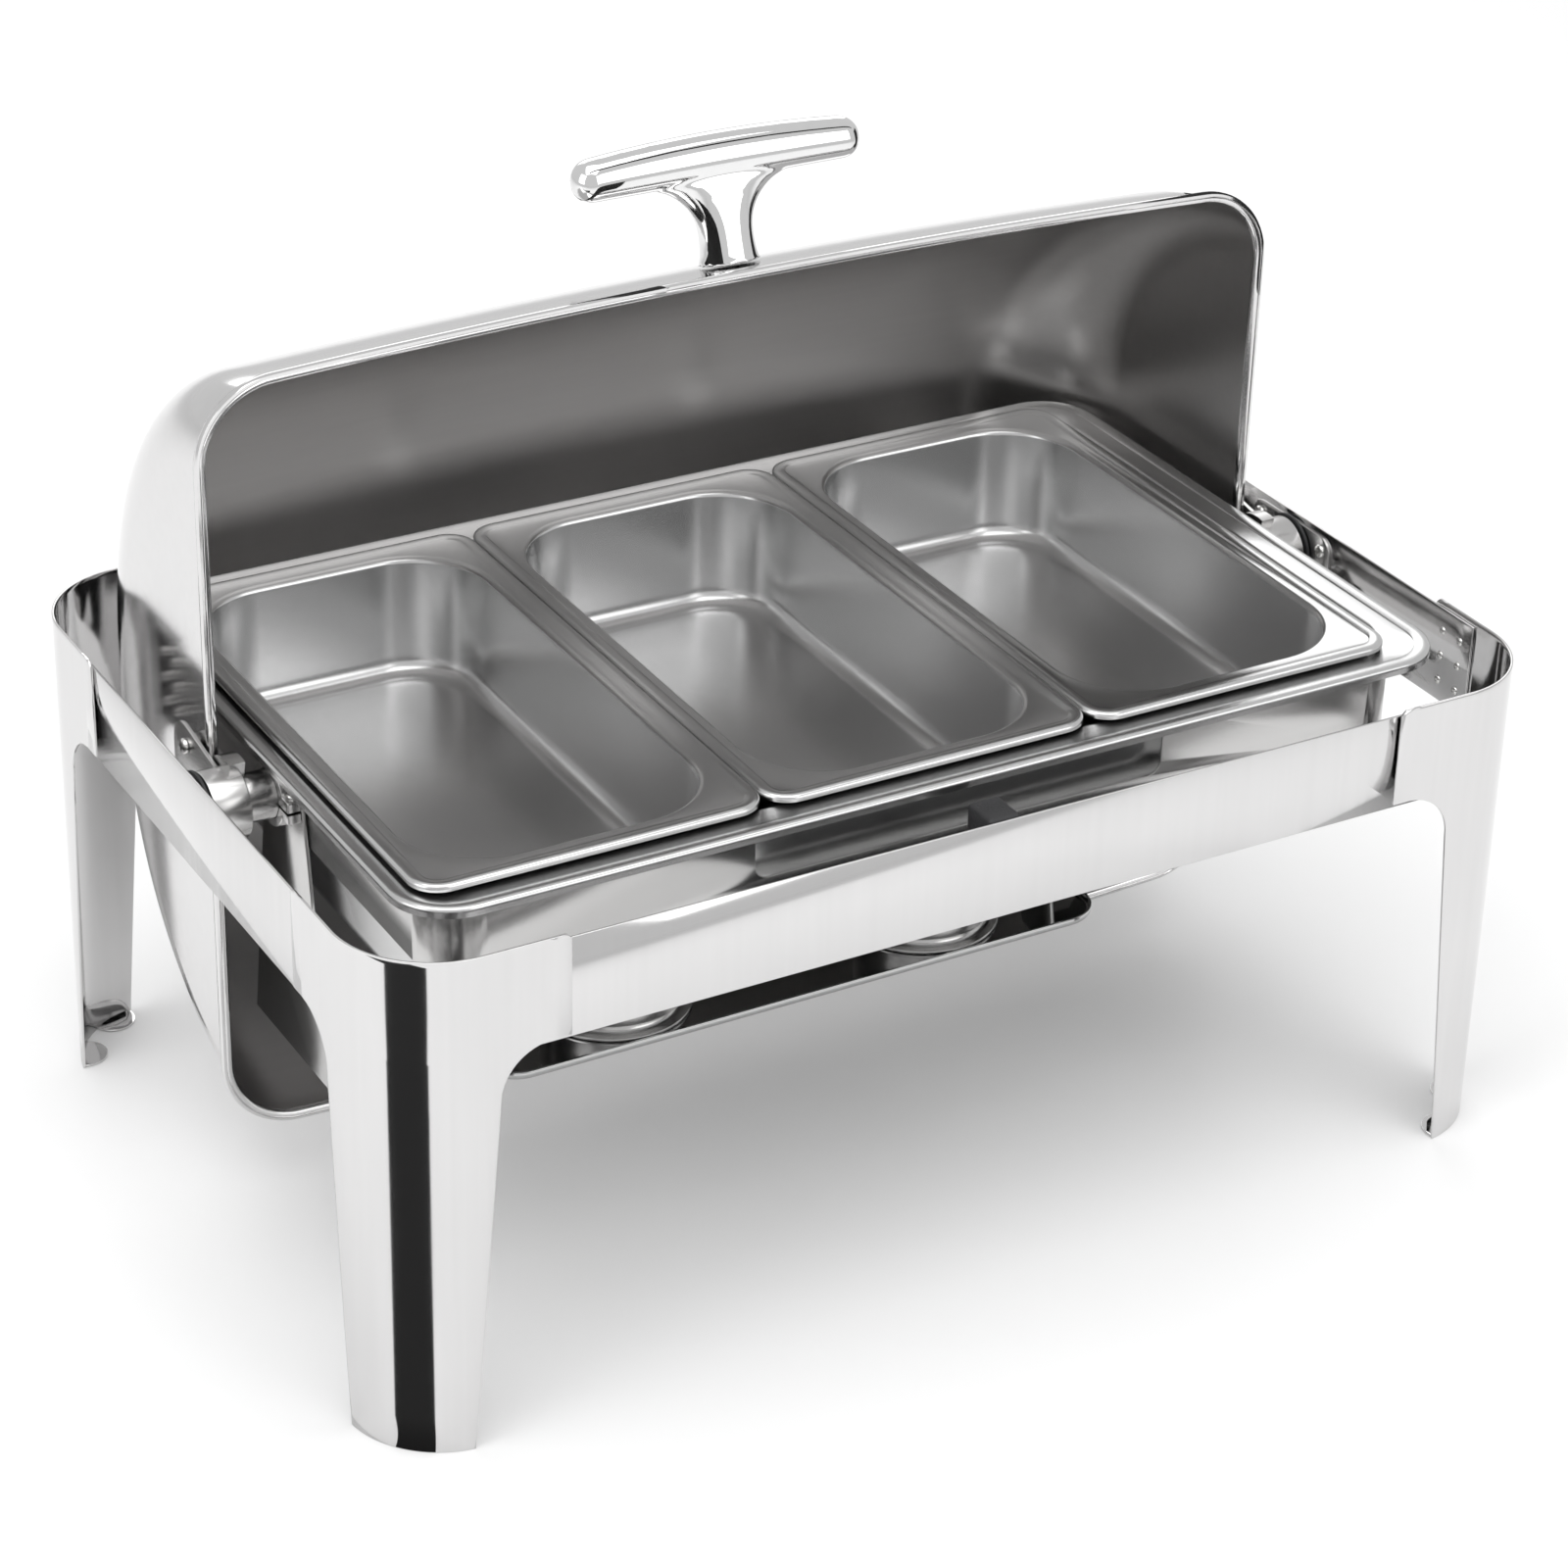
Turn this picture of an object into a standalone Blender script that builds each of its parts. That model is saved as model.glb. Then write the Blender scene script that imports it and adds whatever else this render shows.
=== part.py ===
"""Roll top chafer: stand, rolling lid, water pan, three food pans and fuel shelf.

Lengths are in millimetres and become metres as meshes are made. +X runs along the length,
+Y to the back, +Z up, with the origin on the table under the middle of the stand.
The lid is rolled open, behind the pans.
"""
import math

import bmesh
import bpy
from mathutils import Matrix, Vector

MM = 0.001
GAP = 0.3            # clearance between pieces that touch
SHEET = 1.2          # stand sheet thickness

# Stand
STAND_X = 318.0      # half length over the legs
STAND_Y = 213.5      # half depth over the legs
STAND_TOP = 263.0    # top of the leg tabs
CORNER_R = 50.0      # outer radius of each leg's corner
TAB_REACH = 93.0     # leg tabs reach this far from the corner
FOOT_REACH = 43.5    # leg width at the floor, from the corner
KNEE_REACH = 58.0    # leg width where the arch starts
KNEE_Z = 185.0
ARCH_R = 26.0        # corner of the arch, from the knee to its flat top
RAIL_HEIGHT = 51.0
RAIL_TOP = 260.0
RAIL_LAP = 32.0      # the rails run on behind the leg tabs by this much
FOOT_TAB_R = 12.0

# Lid and its pivot
AXIS_Z = 240.0
LID_R = 198.0        # barrel radius about the pivot axis
LID_X = 293.0        # half length to the end walls
LID_RIM_Y = 22.0     # rim plane behind the pivot axis when open
LID_SHEET = 1.0
LID_CROWN = 7.5      # the barrel bulges this much more at its middle
BACK_FILLET = 60.0   # barrel to end wall, at the back of the lid
MOUTH_FILLET = 35.0  # the same at the rim
BEAD = 5.0           # the rim's rolled bead stands this proud
HANDLE_ANGLE = 73.5  # handle direction, from +Y towards +Z
HANDLE_R = 256.7     # pivot axis to the grip's centre line
GRIP_THICK = 10.3    # half thickness at the grip's ends
GRIP_CROWN = 4.0     # its back is crowned by this much
GRIP_HALF = 79.0

# Hinge hardware
AXLE_R = 12.0
AXLE_BORE_R = 9.5
KNUCKLE_R = 18.0
KNUCKLE_IN = 292.0   # inner end face of the knuckle barrel
KNUCKLE_OUT = 310.5
FLANGE_X = 298.6     # inner face of the knuckle's flange, clear of the lid's bead
FLANGE_T = 2.0
STOP_PIN_R = 2.0
STOP_PIN_X = 295.0

# Pans
WATER_LIP_X = 283.0
WATER_LIP_Y = 178.0
WATER_LIP_Z = 266.0
WATER_WALL_X = 262.5
WATER_WALL_Y = 156.5
WATER_DEPTH = 84.0
PAN_SHEET = 0.8
FOOD_LENGTH = 325.0
FOOD_WIDTH = 176.0
FOOD_RIM_Z = 270.0
FOOD_DEPTH = 65.0
FOOD_PITCH = 177.2
FOOD_SHIFT = -8.0    # the pans sit a little to the left in the water pan

# Pan support band
BAND_X = 267.2
BAND_Y = 163.2
BAND_R = 26.0
BAND_Z = (220.0, 264.8)
NOTCH_X = (-105.0, 120.0)
NOTCH_Z = 231.0

# Fuel shelf
SHELF_X = 180.0
SHELF_Y = (-43.0, 51.0)
SHELF_Z = 69.0
SHELF_SHEET = 1.5
SHELF_LIP = 5.0
CUP_X = 92.0
CUP_Y = 4.0
CUP_R = 35.0
CUP_FLANGE_R = 42.0
CUP_HEIGHT = 46.0
ARM_Z = 100.0
ARM_DROP_X = 166.0
ARM_Y = 4.0
ARM_HALF_Y = 15.0


# ---------------------------------------------------------------- scene and materials

def clear_scene():
    for obj in list(bpy.data.objects):
        bpy.data.objects.remove(obj, do_unlink=True)


def new_collection(name):
    coll = bpy.data.collections.new(name)
    bpy.context.scene.collection.children.link(coll)
    return coll


def material(name, colour, roughness, metallic):
    mat = bpy.data.materials.new(name)
    mat.use_nodes = True
    shader = mat.node_tree.nodes["Principled BSDF"]
    shader.inputs["Base Color"].default_value = (*colour, 1.0)
    shader.inputs["Roughness"].default_value = roughness
    shader.inputs["Metallic"].default_value = metallic
    mat.diffuse_color = (*colour, 1.0)
    return mat


def polished_steel(name):
    return material(name, (0.80, 0.80, 0.81), 0.10, 1.0)


def satin_steel(name):
    return material(name, (0.62, 0.62, 0.63), 0.28, 1.0)


def chrome(name):
    return material(name, (0.86, 0.87, 0.88), 0.04, 1.0)


def rubber(name):
    return material(name, (0.02, 0.02, 0.02), 0.60, 0.0)


# ---------------------------------------------------------------- mesh helpers

def finish_mesh(bm, name, smooth_angle=35.0):
    """Weld, orient and scale a bmesh in millimetres, and return it as a mesh in metres."""
    bmesh.ops.remove_doubles(bm, verts=bm.verts, dist=0.001)
    bmesh.ops.recalc_face_normals(bm, faces=bm.faces)
    bmesh.ops.scale(bm, vec=(MM, MM, MM), verts=bm.verts)
    mesh = bpy.data.meshes.new(name)
    bm.to_mesh(mesh)
    bm.free()
    mesh.shade_smooth()
    mesh.set_sharp_from_angle(angle=math.radians(smooth_angle))
    return mesh


def add_object(name, mesh, coll, mat=None):
    obj = bpy.data.objects.new(name, mesh)
    coll.objects.link(obj)
    if mat:
        mesh.materials.append(mat)
    return obj


def solidify(obj, thickness):
    mod = obj.modifiers.new("thickness", "SOLIDIFY")
    mod.thickness = thickness * MM
    mod.offset = 0.0
    mod.use_even_offset = True


def boolean(obj, tool, operation):
    mod = obj.modifiers.new(operation.lower(), "BOOLEAN")
    mod.operation = operation
    mod.solver = "EXACT"
    mod.object = tool


def bevel(obj, width, segments=1):
    mod = obj.modifiers.new("bevel", "BEVEL")
    mod.width = width * MM
    mod.segments = segments
    mod.limit_method = "ANGLE"


def grid_mesh(name, rows, closed=False, cap_last=False):
    """A surface through rows of points, each row closed into a ring if asked."""
    bm = bmesh.new()
    grid = [[bm.verts.new(p) for p in row] for row in rows]
    count = len(rows[0])
    last = count if closed else count - 1
    for lower, upper in zip(grid, grid[1:]):
        for i in range(last):
            j = (i + 1) % count
            bm.faces.new((lower[i], lower[j], upper[j], upper[i]))
    if cap_last:
        bm.faces.new(grid[-1])
    return finish_mesh(bm, name)


def box(name, low, high, coll, mat=None):
    bm = bmesh.new()
    bmesh.ops.create_cube(bm, size=1.0)
    size = [h - l for l, h in zip(low, high)]
    centre = [(h + l) / 2 for l, h in zip(low, high)]
    bmesh.ops.scale(bm, vec=size, verts=bm.verts)
    bmesh.ops.translate(bm, vec=centre, verts=bm.verts)
    return add_object(name, finish_mesh(bm, name), coll, mat)


def turn_to(bm, direction):
    turn = Vector((0, 0, 1)).rotation_difference(Vector(direction)).to_matrix()
    bmesh.ops.rotate(bm, matrix=turn, verts=bm.verts)


def cylinder(name, start, end, radius, coll, mat=None, segments=24, end_radius=None):
    """A round bar from start to end."""
    bm = bmesh.new()
    run = Vector(end) - Vector(start)
    bmesh.ops.create_cone(bm, cap_ends=True, segments=segments, radius1=radius,
                          radius2=radius if end_radius is None else end_radius, depth=run.length)
    turn_to(bm, run.normalized())
    bmesh.ops.translate(bm, vec=(Vector(start) + Vector(end)) / 2, verts=bm.verts)
    return add_object(name, finish_mesh(bm, name), coll, mat)


def sheet(name, outline, thickness, coll, mat=None):
    """A flat plate: outline points lie on its middle plane."""
    bm = bmesh.new()
    bm.faces.new([bm.verts.new(p) for p in outline])
    obj = add_object(name, finish_mesh(bm, name), coll, mat)
    solidify(obj, thickness)
    return obj


def prism(name, outline, depth, coll, mat=None):
    """The outline swept along the vector depth."""
    bm = bmesh.new()
    face = bm.faces.new([bm.verts.new(p) for p in outline])
    swept = bmesh.ops.extrude_face_region(bm, geom=[face])["geom"]
    moved = [v for v in swept if isinstance(v, bmesh.types.BMVert)]
    bmesh.ops.translate(bm, vec=depth, verts=moved)
    return add_object(name, finish_mesh(bm, name), coll, mat)


def rounded_rect(half_x, half_y, radius, steps=6, centre=(0.0, 0.0)):
    """Points round a rectangle with rounded corners, anticlockwise."""
    points = []
    for sx, sy, start in ((1, 1, 0), (-1, 1, 90), (-1, -1, 180), (1, -1, 270)):
        for i in range(steps + 1):
            angle = math.radians(start + 90 * i / steps)
            points.append((centre[0] + sx * (half_x - radius) + radius * math.cos(angle),
                           centre[1] + sy * (half_y - radius) + radius * math.sin(angle)))
    return points


def evaluated_mesh(obj):
    bpy.context.view_layer.update()
    graph = bpy.context.evaluated_depsgraph_get()
    return bpy.data.meshes.new_from_object(obj.evaluated_get(graph))


def mirrored(obj, name, axis, coll):
    """A mirror image of a finished object, across the plane through the origin."""
    mesh = evaluated_mesh(obj)
    mesh.name = name
    mesh.transform(Matrix.Scale(-1.0, 4, axis))
    mesh.flip_normals()
    return add_object(name, mesh, coll)


def hide_tools(coll):
    for obj in coll.objects:
        obj.hide_render = True
        obj.display_type = "WIRE"


def attach(objects, empty):
    bpy.context.view_layer.update()
    for obj in objects:
        obj.parent = empty
        obj.matrix_parent_inverse = empty.matrix_world.inverted()


def pivot(name, place, coll):
    empty = bpy.data.objects.new(name, None)
    empty.location = [c * MM for c in place]
    coll.objects.link(empty)
    return empty


# ---------------------------------------------------------------- stand

def arch_outline():
    """The stretch cut from a leg's face, as (distance from the corner, height)."""
    steps = 7
    below = 5.0
    top = KNEE_Z + ARCH_R
    points = [(FOOT_REACH - 0.5, -below), (KNEE_REACH, KNEE_Z)]
    for i in range(1, steps + 1):
        angle = math.radians(90 * i / steps)
        points.append((KNEE_REACH + ARCH_R * (1 - math.cos(angle)),
                       KNEE_Z + ARCH_R * math.sin(angle)))
    points.append((TAB_REACH + 6, top))
    points.append((TAB_REACH + 6, -below))
    return points


def make_leg(coll, tools):
    """The leg at +X +Y: a bent sheet with an arched cut on each face and two foot tabs."""
    mid = SHEET / 2
    radius = CORNER_R - mid
    face_x = STAND_X - mid
    face_y = STAND_Y - mid
    steps = 10
    path = [(STAND_X - TAB_REACH, face_y)]
    for i in range(steps + 1):
        angle = math.radians(90 - 90 * i / steps)
        path.append((face_x - radius + radius * math.cos(angle),
                     face_y - radius + radius * math.sin(angle)))
    path.append((face_x, STAND_Y - TAB_REACH))
    rows = [[(x, y, z) for x, y in path] for z in (0.0, STAND_TOP)]
    leg = add_object("leg_back_right", grid_mesh("leg_back_right", rows), coll,
                     polished_steel("leg_steel"))
    solidify(leg, SHEET)
    front_cut = prism("leg_cut_x", [(STAND_X - d, STAND_Y - 30, z) for d, z in arch_outline()],
                      (0, 40, 0), tools)
    side_cut = prism("leg_cut_y", [(STAND_X - 30, STAND_Y - d, z) for d, z in arch_outline()],
                     (40, 0, 0), tools)
    boolean(leg, front_cut, "DIFFERENCE")
    boolean(leg, side_cut, "DIFFERENCE")
    inside = rounded_rect(STAND_X - mid, STAND_Y - mid, CORNER_R - mid, steps=10)
    keep = prism("foot_tab_limit", [(x, y, -1.0) for x, y in inside], (0, 0, 5), tools)
    set_in = 6.0
    along = FOOT_REACH - FOOT_TAB_R
    for i, (dx, dy) in enumerate(((along, set_in), (set_in, along))):
        centre = (STAND_X - dx, STAND_Y - dy)
        tab = cylinder(f"foot_tab_{i}", (*centre, 0.0), (*centre, SHEET), FOOT_TAB_R, tools,
                       segments=20)
        boolean(tab, keep, "INTERSECT")
        boolean(leg, tab, "UNION")
    return leg


def make_legs(coll, tools):
    leg = make_leg(coll, tools)
    left = mirrored(leg, "leg_back_left", (1, 0, 0), coll)
    mirrored(leg, "leg_front_right", (0, 1, 0), coll)
    mirrored(left, "leg_front_left", (0, 1, 0), coll)


def make_rails(coll):
    """Four sheet rails, set just inside the leg tabs that lap over their ends."""
    outer_x = STAND_X - SHEET - GAP
    outer_y = STAND_Y - SHEET - GAP
    end_x = STAND_X - TAB_REACH + RAIL_LAP
    end_y = STAND_Y - TAB_REACH + RAIL_LAP
    low = RAIL_TOP - RAIL_HEIGHT
    steel = polished_steel("rail_steel")
    box("rail_back", (-end_x, outer_y - SHEET, low), (end_x, outer_y, RAIL_TOP), coll, steel)
    box("rail_front", (-end_x, -outer_y, low), (end_x, SHEET - outer_y, RAIL_TOP), coll, steel)
    box("rail_right", (outer_x - SHEET, -end_y, low), (outer_x, end_y, RAIL_TOP), coll, steel)
    box("rail_left", (-outer_x, -end_y, low), (SHEET - outer_x, end_y, RAIL_TOP), coll, steel)


def make_bumper(coll):
    """The block that the closed lid's rim lands on, and the angle that carries it."""
    inner = -(STAND_Y - 2 * SHEET - GAP) + GAP
    top = AXIS_Z + LID_RIM_Y - 1.0
    block = box("lid_bumper", (-8.5, inner, top - 16), (8.5, inner + 20, top), coll,
                rubber("bumper_rubber"))
    bevel(block, 1.5)
    foot = top - 16 - GAP
    angle = [(inner + SHEET / 2, foot - 14), (inner + SHEET / 2, foot - SHEET / 2),
             (inner + 18, foot - SHEET / 2)]
    rows = [[(x, y, z) for y, z in angle] for x in (-12.0, 12.0)]
    bracket = add_object("bumper_bracket", grid_mesh("bumper_bracket", rows), coll,
                         satin_steel("bumper_bracket_steel"))
    solidify(bracket, SHEET)


def make_support_band(coll, tools):
    """The collar under the water pan's lip, with a notch in its front."""
    mid = SHEET / 2
    ring = rounded_rect(BAND_X - mid, BAND_Y - mid, BAND_R - mid, steps=6)
    rows = [[(x, y, z) for x, y in ring] for z in BAND_Z]
    band = add_object("pan_support_band", grid_mesh("pan_support_band", rows, closed=True),
                      coll, satin_steel("band_steel"))
    solidify(band, SHEET)
    half = (NOTCH_X[1] - NOTCH_X[0]) / 2
    middle = (NOTCH_X[1] + NOTCH_X[0]) / 2
    rise = 20.0
    notch = rounded_rect(half, rise, 7.0, steps=4, centre=(middle, NOTCH_Z + rise))
    cutter = prism("band_notch", [(x, -BAND_Y - 10, z) for x, z in notch], (0, 20, 0), tools)
    boolean(band, cutter, "DIFFERENCE")


# ---------------------------------------------------------------- lid

def lid_fillet(angle):
    """Corner radius of the lid's section at an angle from its back."""
    return BACK_FILLET - (BACK_FILLET - MOUTH_FILLET) * math.sin(angle) ** 2


def lid_section(angle):
    """One section of the lid, from the left hub over the barrel to the right hub."""
    radius = LID_R - LID_SHEET / 2
    half = LID_X - LID_SHEET / 2
    depth = -LID_RIM_Y * math.cos(angle)
    reach = depth + math.sqrt(radius ** 2 - (LID_RIM_Y * math.sin(angle)) ** 2)
    fillet = lid_fillet(angle)
    steps = 5
    profile = [(half, 0.0), (half, (reach - fillet) * 0.5)]
    for i in range(steps + 1):
        turn = math.radians(90 * i / steps)
        profile.append((half - fillet + fillet * math.cos(turn),
                        reach - fillet + fillet * math.sin(turn)))
    spans = 8
    across = [((half - fillet) * (2 * i / spans - 1), reach) for i in range(1, spans)]
    whole = [(-x, out) for x, out in profile] + across + list(reversed(profile))
    points = []
    for x, out in whole:
        out *= 1 + LID_CROWN * (1 - (x / half) ** 2) / reach
        points.append((x, LID_RIM_Y + out * math.cos(angle), AXIS_Z + out * math.sin(angle)))
    return points


def rim_loop(bm):
    """The lid's open edge: its vertices with their outward directions in the rim plane."""
    found = {}
    for edge in bm.edges:
        if len(edge.link_faces) != 1:
            continue
        a, b = edge.verts
        along = (b.co - a.co).normalized()
        out = along.cross(Vector((0, 1, 0)))
        middle = (a.co + b.co) / 2 - Vector((0, LID_RIM_Y, AXIS_Z))
        if out.dot(middle) < 0:
            out.negate()
        for vert in edge.verts:
            found.setdefault(vert, Vector()).__iadd__(out)
    return {vert: out.normalized() for vert, out in found.items()}


def roll_bead(bm):
    """Turn the lid's edge outward and back on itself."""
    bead_profile = [(1.2, -2.4), (3.0, -3.0), (BEAD - 0.5, -1.6), (BEAD - 0.5, 1.5)]
    directions = rim_loop(bm)
    start = {vert: vert.co.copy() for vert in directions}
    for vert in directions:
        vert.co.y += 3.0
    start = {vert: (co + Vector((0, 3.0, 0)), directions[vert]) for vert, co in start.items()}
    edges = [e for e in bm.edges if len(e.link_faces) == 1]
    for out, back in bead_profile:
        made = bmesh.ops.extrude_edge_only(bm, edges=edges)["geom"]
        new_verts = [g for g in made if isinstance(g, bmesh.types.BMVert)]
        edges = [g for g in made if isinstance(g, bmesh.types.BMEdge)]
        placed = {}
        for vert in new_verts:
            base = min(start, key=lambda old: (old.co - vert.co).length_squared)
            origin, direction = start[base]
            placed[vert] = (origin, direction)
        for vert, (origin, direction) in placed.items():
            vert.co = origin + direction * out + Vector((0, back, 0))
        start = placed


def make_lid_shell(coll):
    steps = 18
    rows = [lid_section(math.radians(-90 + 180 * i / steps)) for i in range(steps + 1)]
    bm = bmesh.new()
    grid = [[bm.verts.new(p) for p in row] for row in rows]
    for lower, upper in zip(grid, grid[1:]):
        for i in range(len(rows[0]) - 1):
            bm.faces.new((lower[i], lower[i + 1], upper[i + 1], upper[i]))
    bmesh.ops.remove_doubles(bm, verts=bm.verts, dist=0.001)
    bmesh.ops.dissolve_degenerate(bm, edges=bm.edges, dist=0.001)
    roll_bead(bm)
    shell = add_object("lid_shell", finish_mesh(bm, "lid_shell"), coll,
                       polished_steel("lid_steel"))
    solidify(shell, LID_SHEET)
    return shell


def oval_ring(centre, across, along, half_a, half_b, steps=16):
    """Points of an ellipse about a centre, on two directions."""
    return [centre + across * (half_a * math.cos(2 * math.pi * i / steps))
            + along * (half_b * math.sin(2 * math.pi * i / steps)) for i in range(steps)]


def capped_loft(name, rings, coll, mat=None):
    bm = bmesh.new()
    grid = [[bm.verts.new(p) for p in ring] for ring in rings]
    count = len(rings[0])
    for lower, upper in zip(grid, grid[1:]):
        for i in range(count):
            j = (i + 1) % count
            bm.faces.new((lower[i], lower[j], upper[j], upper[i]))
    bm.faces.new(grid[0])
    bm.faces.new(grid[-1])
    return add_object(name, finish_mesh(bm, name, 50.0), coll, mat)


def make_handle(coll, tools):
    """A cast T: an oval grip along X on a stem that flares into it and into its foot."""
    tilt = math.radians(HANDLE_ANGLE)
    out = Vector((0, math.cos(tilt), math.sin(tilt)))
    side = Vector((0, -math.sin(tilt), math.cos(tilt)))
    along = Vector((1, 0, 0))
    hub = Vector((0, 0, AXIS_Z))
    grip_rings = []
    for u in (-1.0, -0.99, -0.96, -0.91, -0.6, 0.0, 0.6, 0.91, 0.96, 0.99, 1.0):
        past = max(0.0, (abs(u) - 0.87) / 0.13)
        swell = max(math.sqrt(1 - past ** 2), 0.2)
        crown = GRIP_CROWN / 2 * (1 - u * u)
        centre = hub + out * (HANDLE_R + crown) + along * (GRIP_HALF * u)
        grip_rings.append(oval_ring(centre, side, out, GRIP_THICK * swell,
                                    (GRIP_THICK + crown) * swell))
    grip = capped_loft("lid_handle", grip_rings, coll, chrome("handle_chrome"))
    foot_r = LID_R + LID_CROWN + GAP + 0.4
    stem_rings = []
    for rise, half_x, half_y in ((0.0, 16.5, 12.0), (3.0, 15.0, 11.0), (12.0, 14.3, 9.8),
                                 (22.0, 15.8, 9.3), (29.0, 19.4, 9.0), (34.0, 24.0, 9.0),
                                 (38.0, 30.0, 8.9), (41.0, 38.0, 8.7), (44.5, 46.0, 8.0)):
        centre = hub + out * (foot_r + rise)
        stem_rings.append(oval_ring(centre, along, side, half_x, half_y))
    stem = capped_loft("handle_stem", stem_rings, tools)
    boolean(grip, stem, "UNION")
    return grip


def knuckle_flange_outline():
    """Rounded plate from round the barrel to behind the lid's rim, as (y, z)."""
    points = []
    inner = (KNUCKLE_R + AXLE_R) / 2
    for i in range(9):
        angle = math.radians(90 + 180 * i / 8)
        points.append((inner * math.cos(angle), AXIS_Z + inner * math.sin(angle)))
    back = 58.0
    half = 22.0
    corner = 14.0
    for start, sz in ((270, -1), (0, 1)):
        for i in range(5):
            angle = math.radians(start + 90 * i / 4)
            points.append((back - corner + corner * math.cos(angle),
                           AXIS_Z + sz * (half - corner) + corner * math.sin(angle)))
    return points


def make_knuckle(coll, tools):
    """The right hinge knuckle: a barrel on the axle, with a flange to the lid's end wall."""
    hub = (KNUCKLE_OUT, 0, AXIS_Z)
    knuckle = cylinder("hinge_knuckle_right", (KNUCKLE_IN, 0, AXIS_Z), hub, KNUCKLE_R, coll,
                       polished_steel("knuckle_steel"), segments=32)
    flange = prism("knuckle_flange", [(FLANGE_X, y, z) for y, z in knuckle_flange_outline()],
                   (FLANGE_T, 0, 0), tools)
    boolean(knuckle, flange, "UNION")
    for i, rise in enumerate((-11.0, 11.0)):
        boss = cylinder(f"knuckle_boss_{i}", (LID_X + GAP, 42, AXIS_Z + rise),
                        (FLANGE_X + 1, 42, AXIS_Z + rise), 5.5, tools, segments=16)
        boolean(knuckle, boss, "UNION")
    bore = cylinder("knuckle_bore", (KNUCKLE_IN - 5, 0, AXIS_Z), (KNUCKLE_OUT + 5, 0, AXIS_Z),
                    AXLE_R + GAP, tools, segments=32)
    boolean(knuckle, bore, "DIFFERENCE")
    slot = []
    first, last = -13.0, 103.0
    for radius, angles in ((KNUCKLE_R + 4, (0, 1, 2, 3, 4)), (AXLE_R - 3, (4, 3, 2, 1, 0))):
        for i in angles:
            angle = math.radians(first + (last - first) * i / 4)
            slot.append((KNUCKLE_IN - 2, radius * 1.05 * math.cos(angle),
                         AXIS_Z + radius * 1.05 * math.sin(angle)))
    depth = STOP_PIN_X + STOP_PIN_R + 0.7 - (KNUCKLE_IN - 2)
    cutter = prism("knuckle_slot", slot, (depth, 0, 0), tools)
    boolean(knuckle, cutter, "DIFFERENCE")
    return knuckle


def make_hinge_side(coll, tools):
    """Right-hand hinge: the moving pieces are returned, the fixed ones stay on the stand."""
    moving = [make_knuckle(coll, tools)]
    for name, rise in (("knuckle_screw_right_low", -11.0), ("knuckle_screw_right_high", 11.0)):
        start = FLANGE_X + FLANGE_T + GAP
        moving.append(cylinder(name, (start, 42, AXIS_Z + rise), (start + 2.6, 42, AXIS_Z + rise),
                               4.0, coll, satin_steel(name + "_steel"), segments=12,
                               end_radius=3.0))
    fixed = []
    wall = STAND_X - 2 * SHEET - GAP
    plate_out = wall - GAP
    plate_t = 1.6
    outline = rounded_rect(34.0, 20.5, 9.0, steps=4, centre=(0.0, AXIS_Z - 3.5))
    plate = prism("hinge_plate_right", [(plate_out - plate_t, y, z) for y, z in outline],
                  (plate_t, 0, 0), coll, satin_steel("hinge_plate_steel"))
    fixed.append(plate)
    head = plate_out - plate_t - GAP
    for tag, dy, dz in (("front_low", -27, -13), ("front_high", -27, 13),
                        ("back_low", 27, -13), ("back_high", 27, 13)):
        name = f"hinge_screw_right_{tag}"
        at = (dy, AXIS_Z - 3.5 + dz)
        fixed.append(cylinder(name, (head, *at), (head - 2.2, *at), 3.6, coll,
                              satin_steel(name + "_steel"), segments=12, end_radius=2.6))
    axle_end = BAND_X + 2.6
    axle = cylinder("axle_right", (head, 0, AXIS_Z), (axle_end, 0, AXIS_Z), AXLE_R, coll,
                    satin_steel("axle_steel"), segments=32)
    bore = cylinder("axle_bore", (head + 5, 0, AXIS_Z), (axle_end - 5, 0, AXIS_Z), AXLE_BORE_R,
                    tools, segments=24)
    boolean(axle, bore, "DIFFERENCE")
    fixed.append(axle)
    washer_out = head
    washer = cylinder("friction_washer_right", (washer_out, 0, AXIS_Z),
                      (washer_out - 1.6, 0, AXIS_Z), KNUCKLE_R + 1.0, coll,
                      rubber("washer_black"), segments=32)
    hole = cylinder("washer_hole", (washer_out + 5, 0, AXIS_Z), (washer_out - 9, 0, AXIS_Z),
                    AXLE_R + GAP, tools, segments=32)
    boolean(washer, hole, "DIFFERENCE")
    fixed.append(washer)
    fixed.append(cylinder("stop_pin_right", (STOP_PIN_X, 0, AXIS_Z + AXLE_R + GAP),
                          (STOP_PIN_X, 0, AXIS_Z + KNUCKLE_R + 1.5), STOP_PIN_R, coll,
                          satin_steel("stop_pin_steel"), segments=12))
    fixed.extend(make_axle_bracket(coll, tools))
    return moving, fixed


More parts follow.
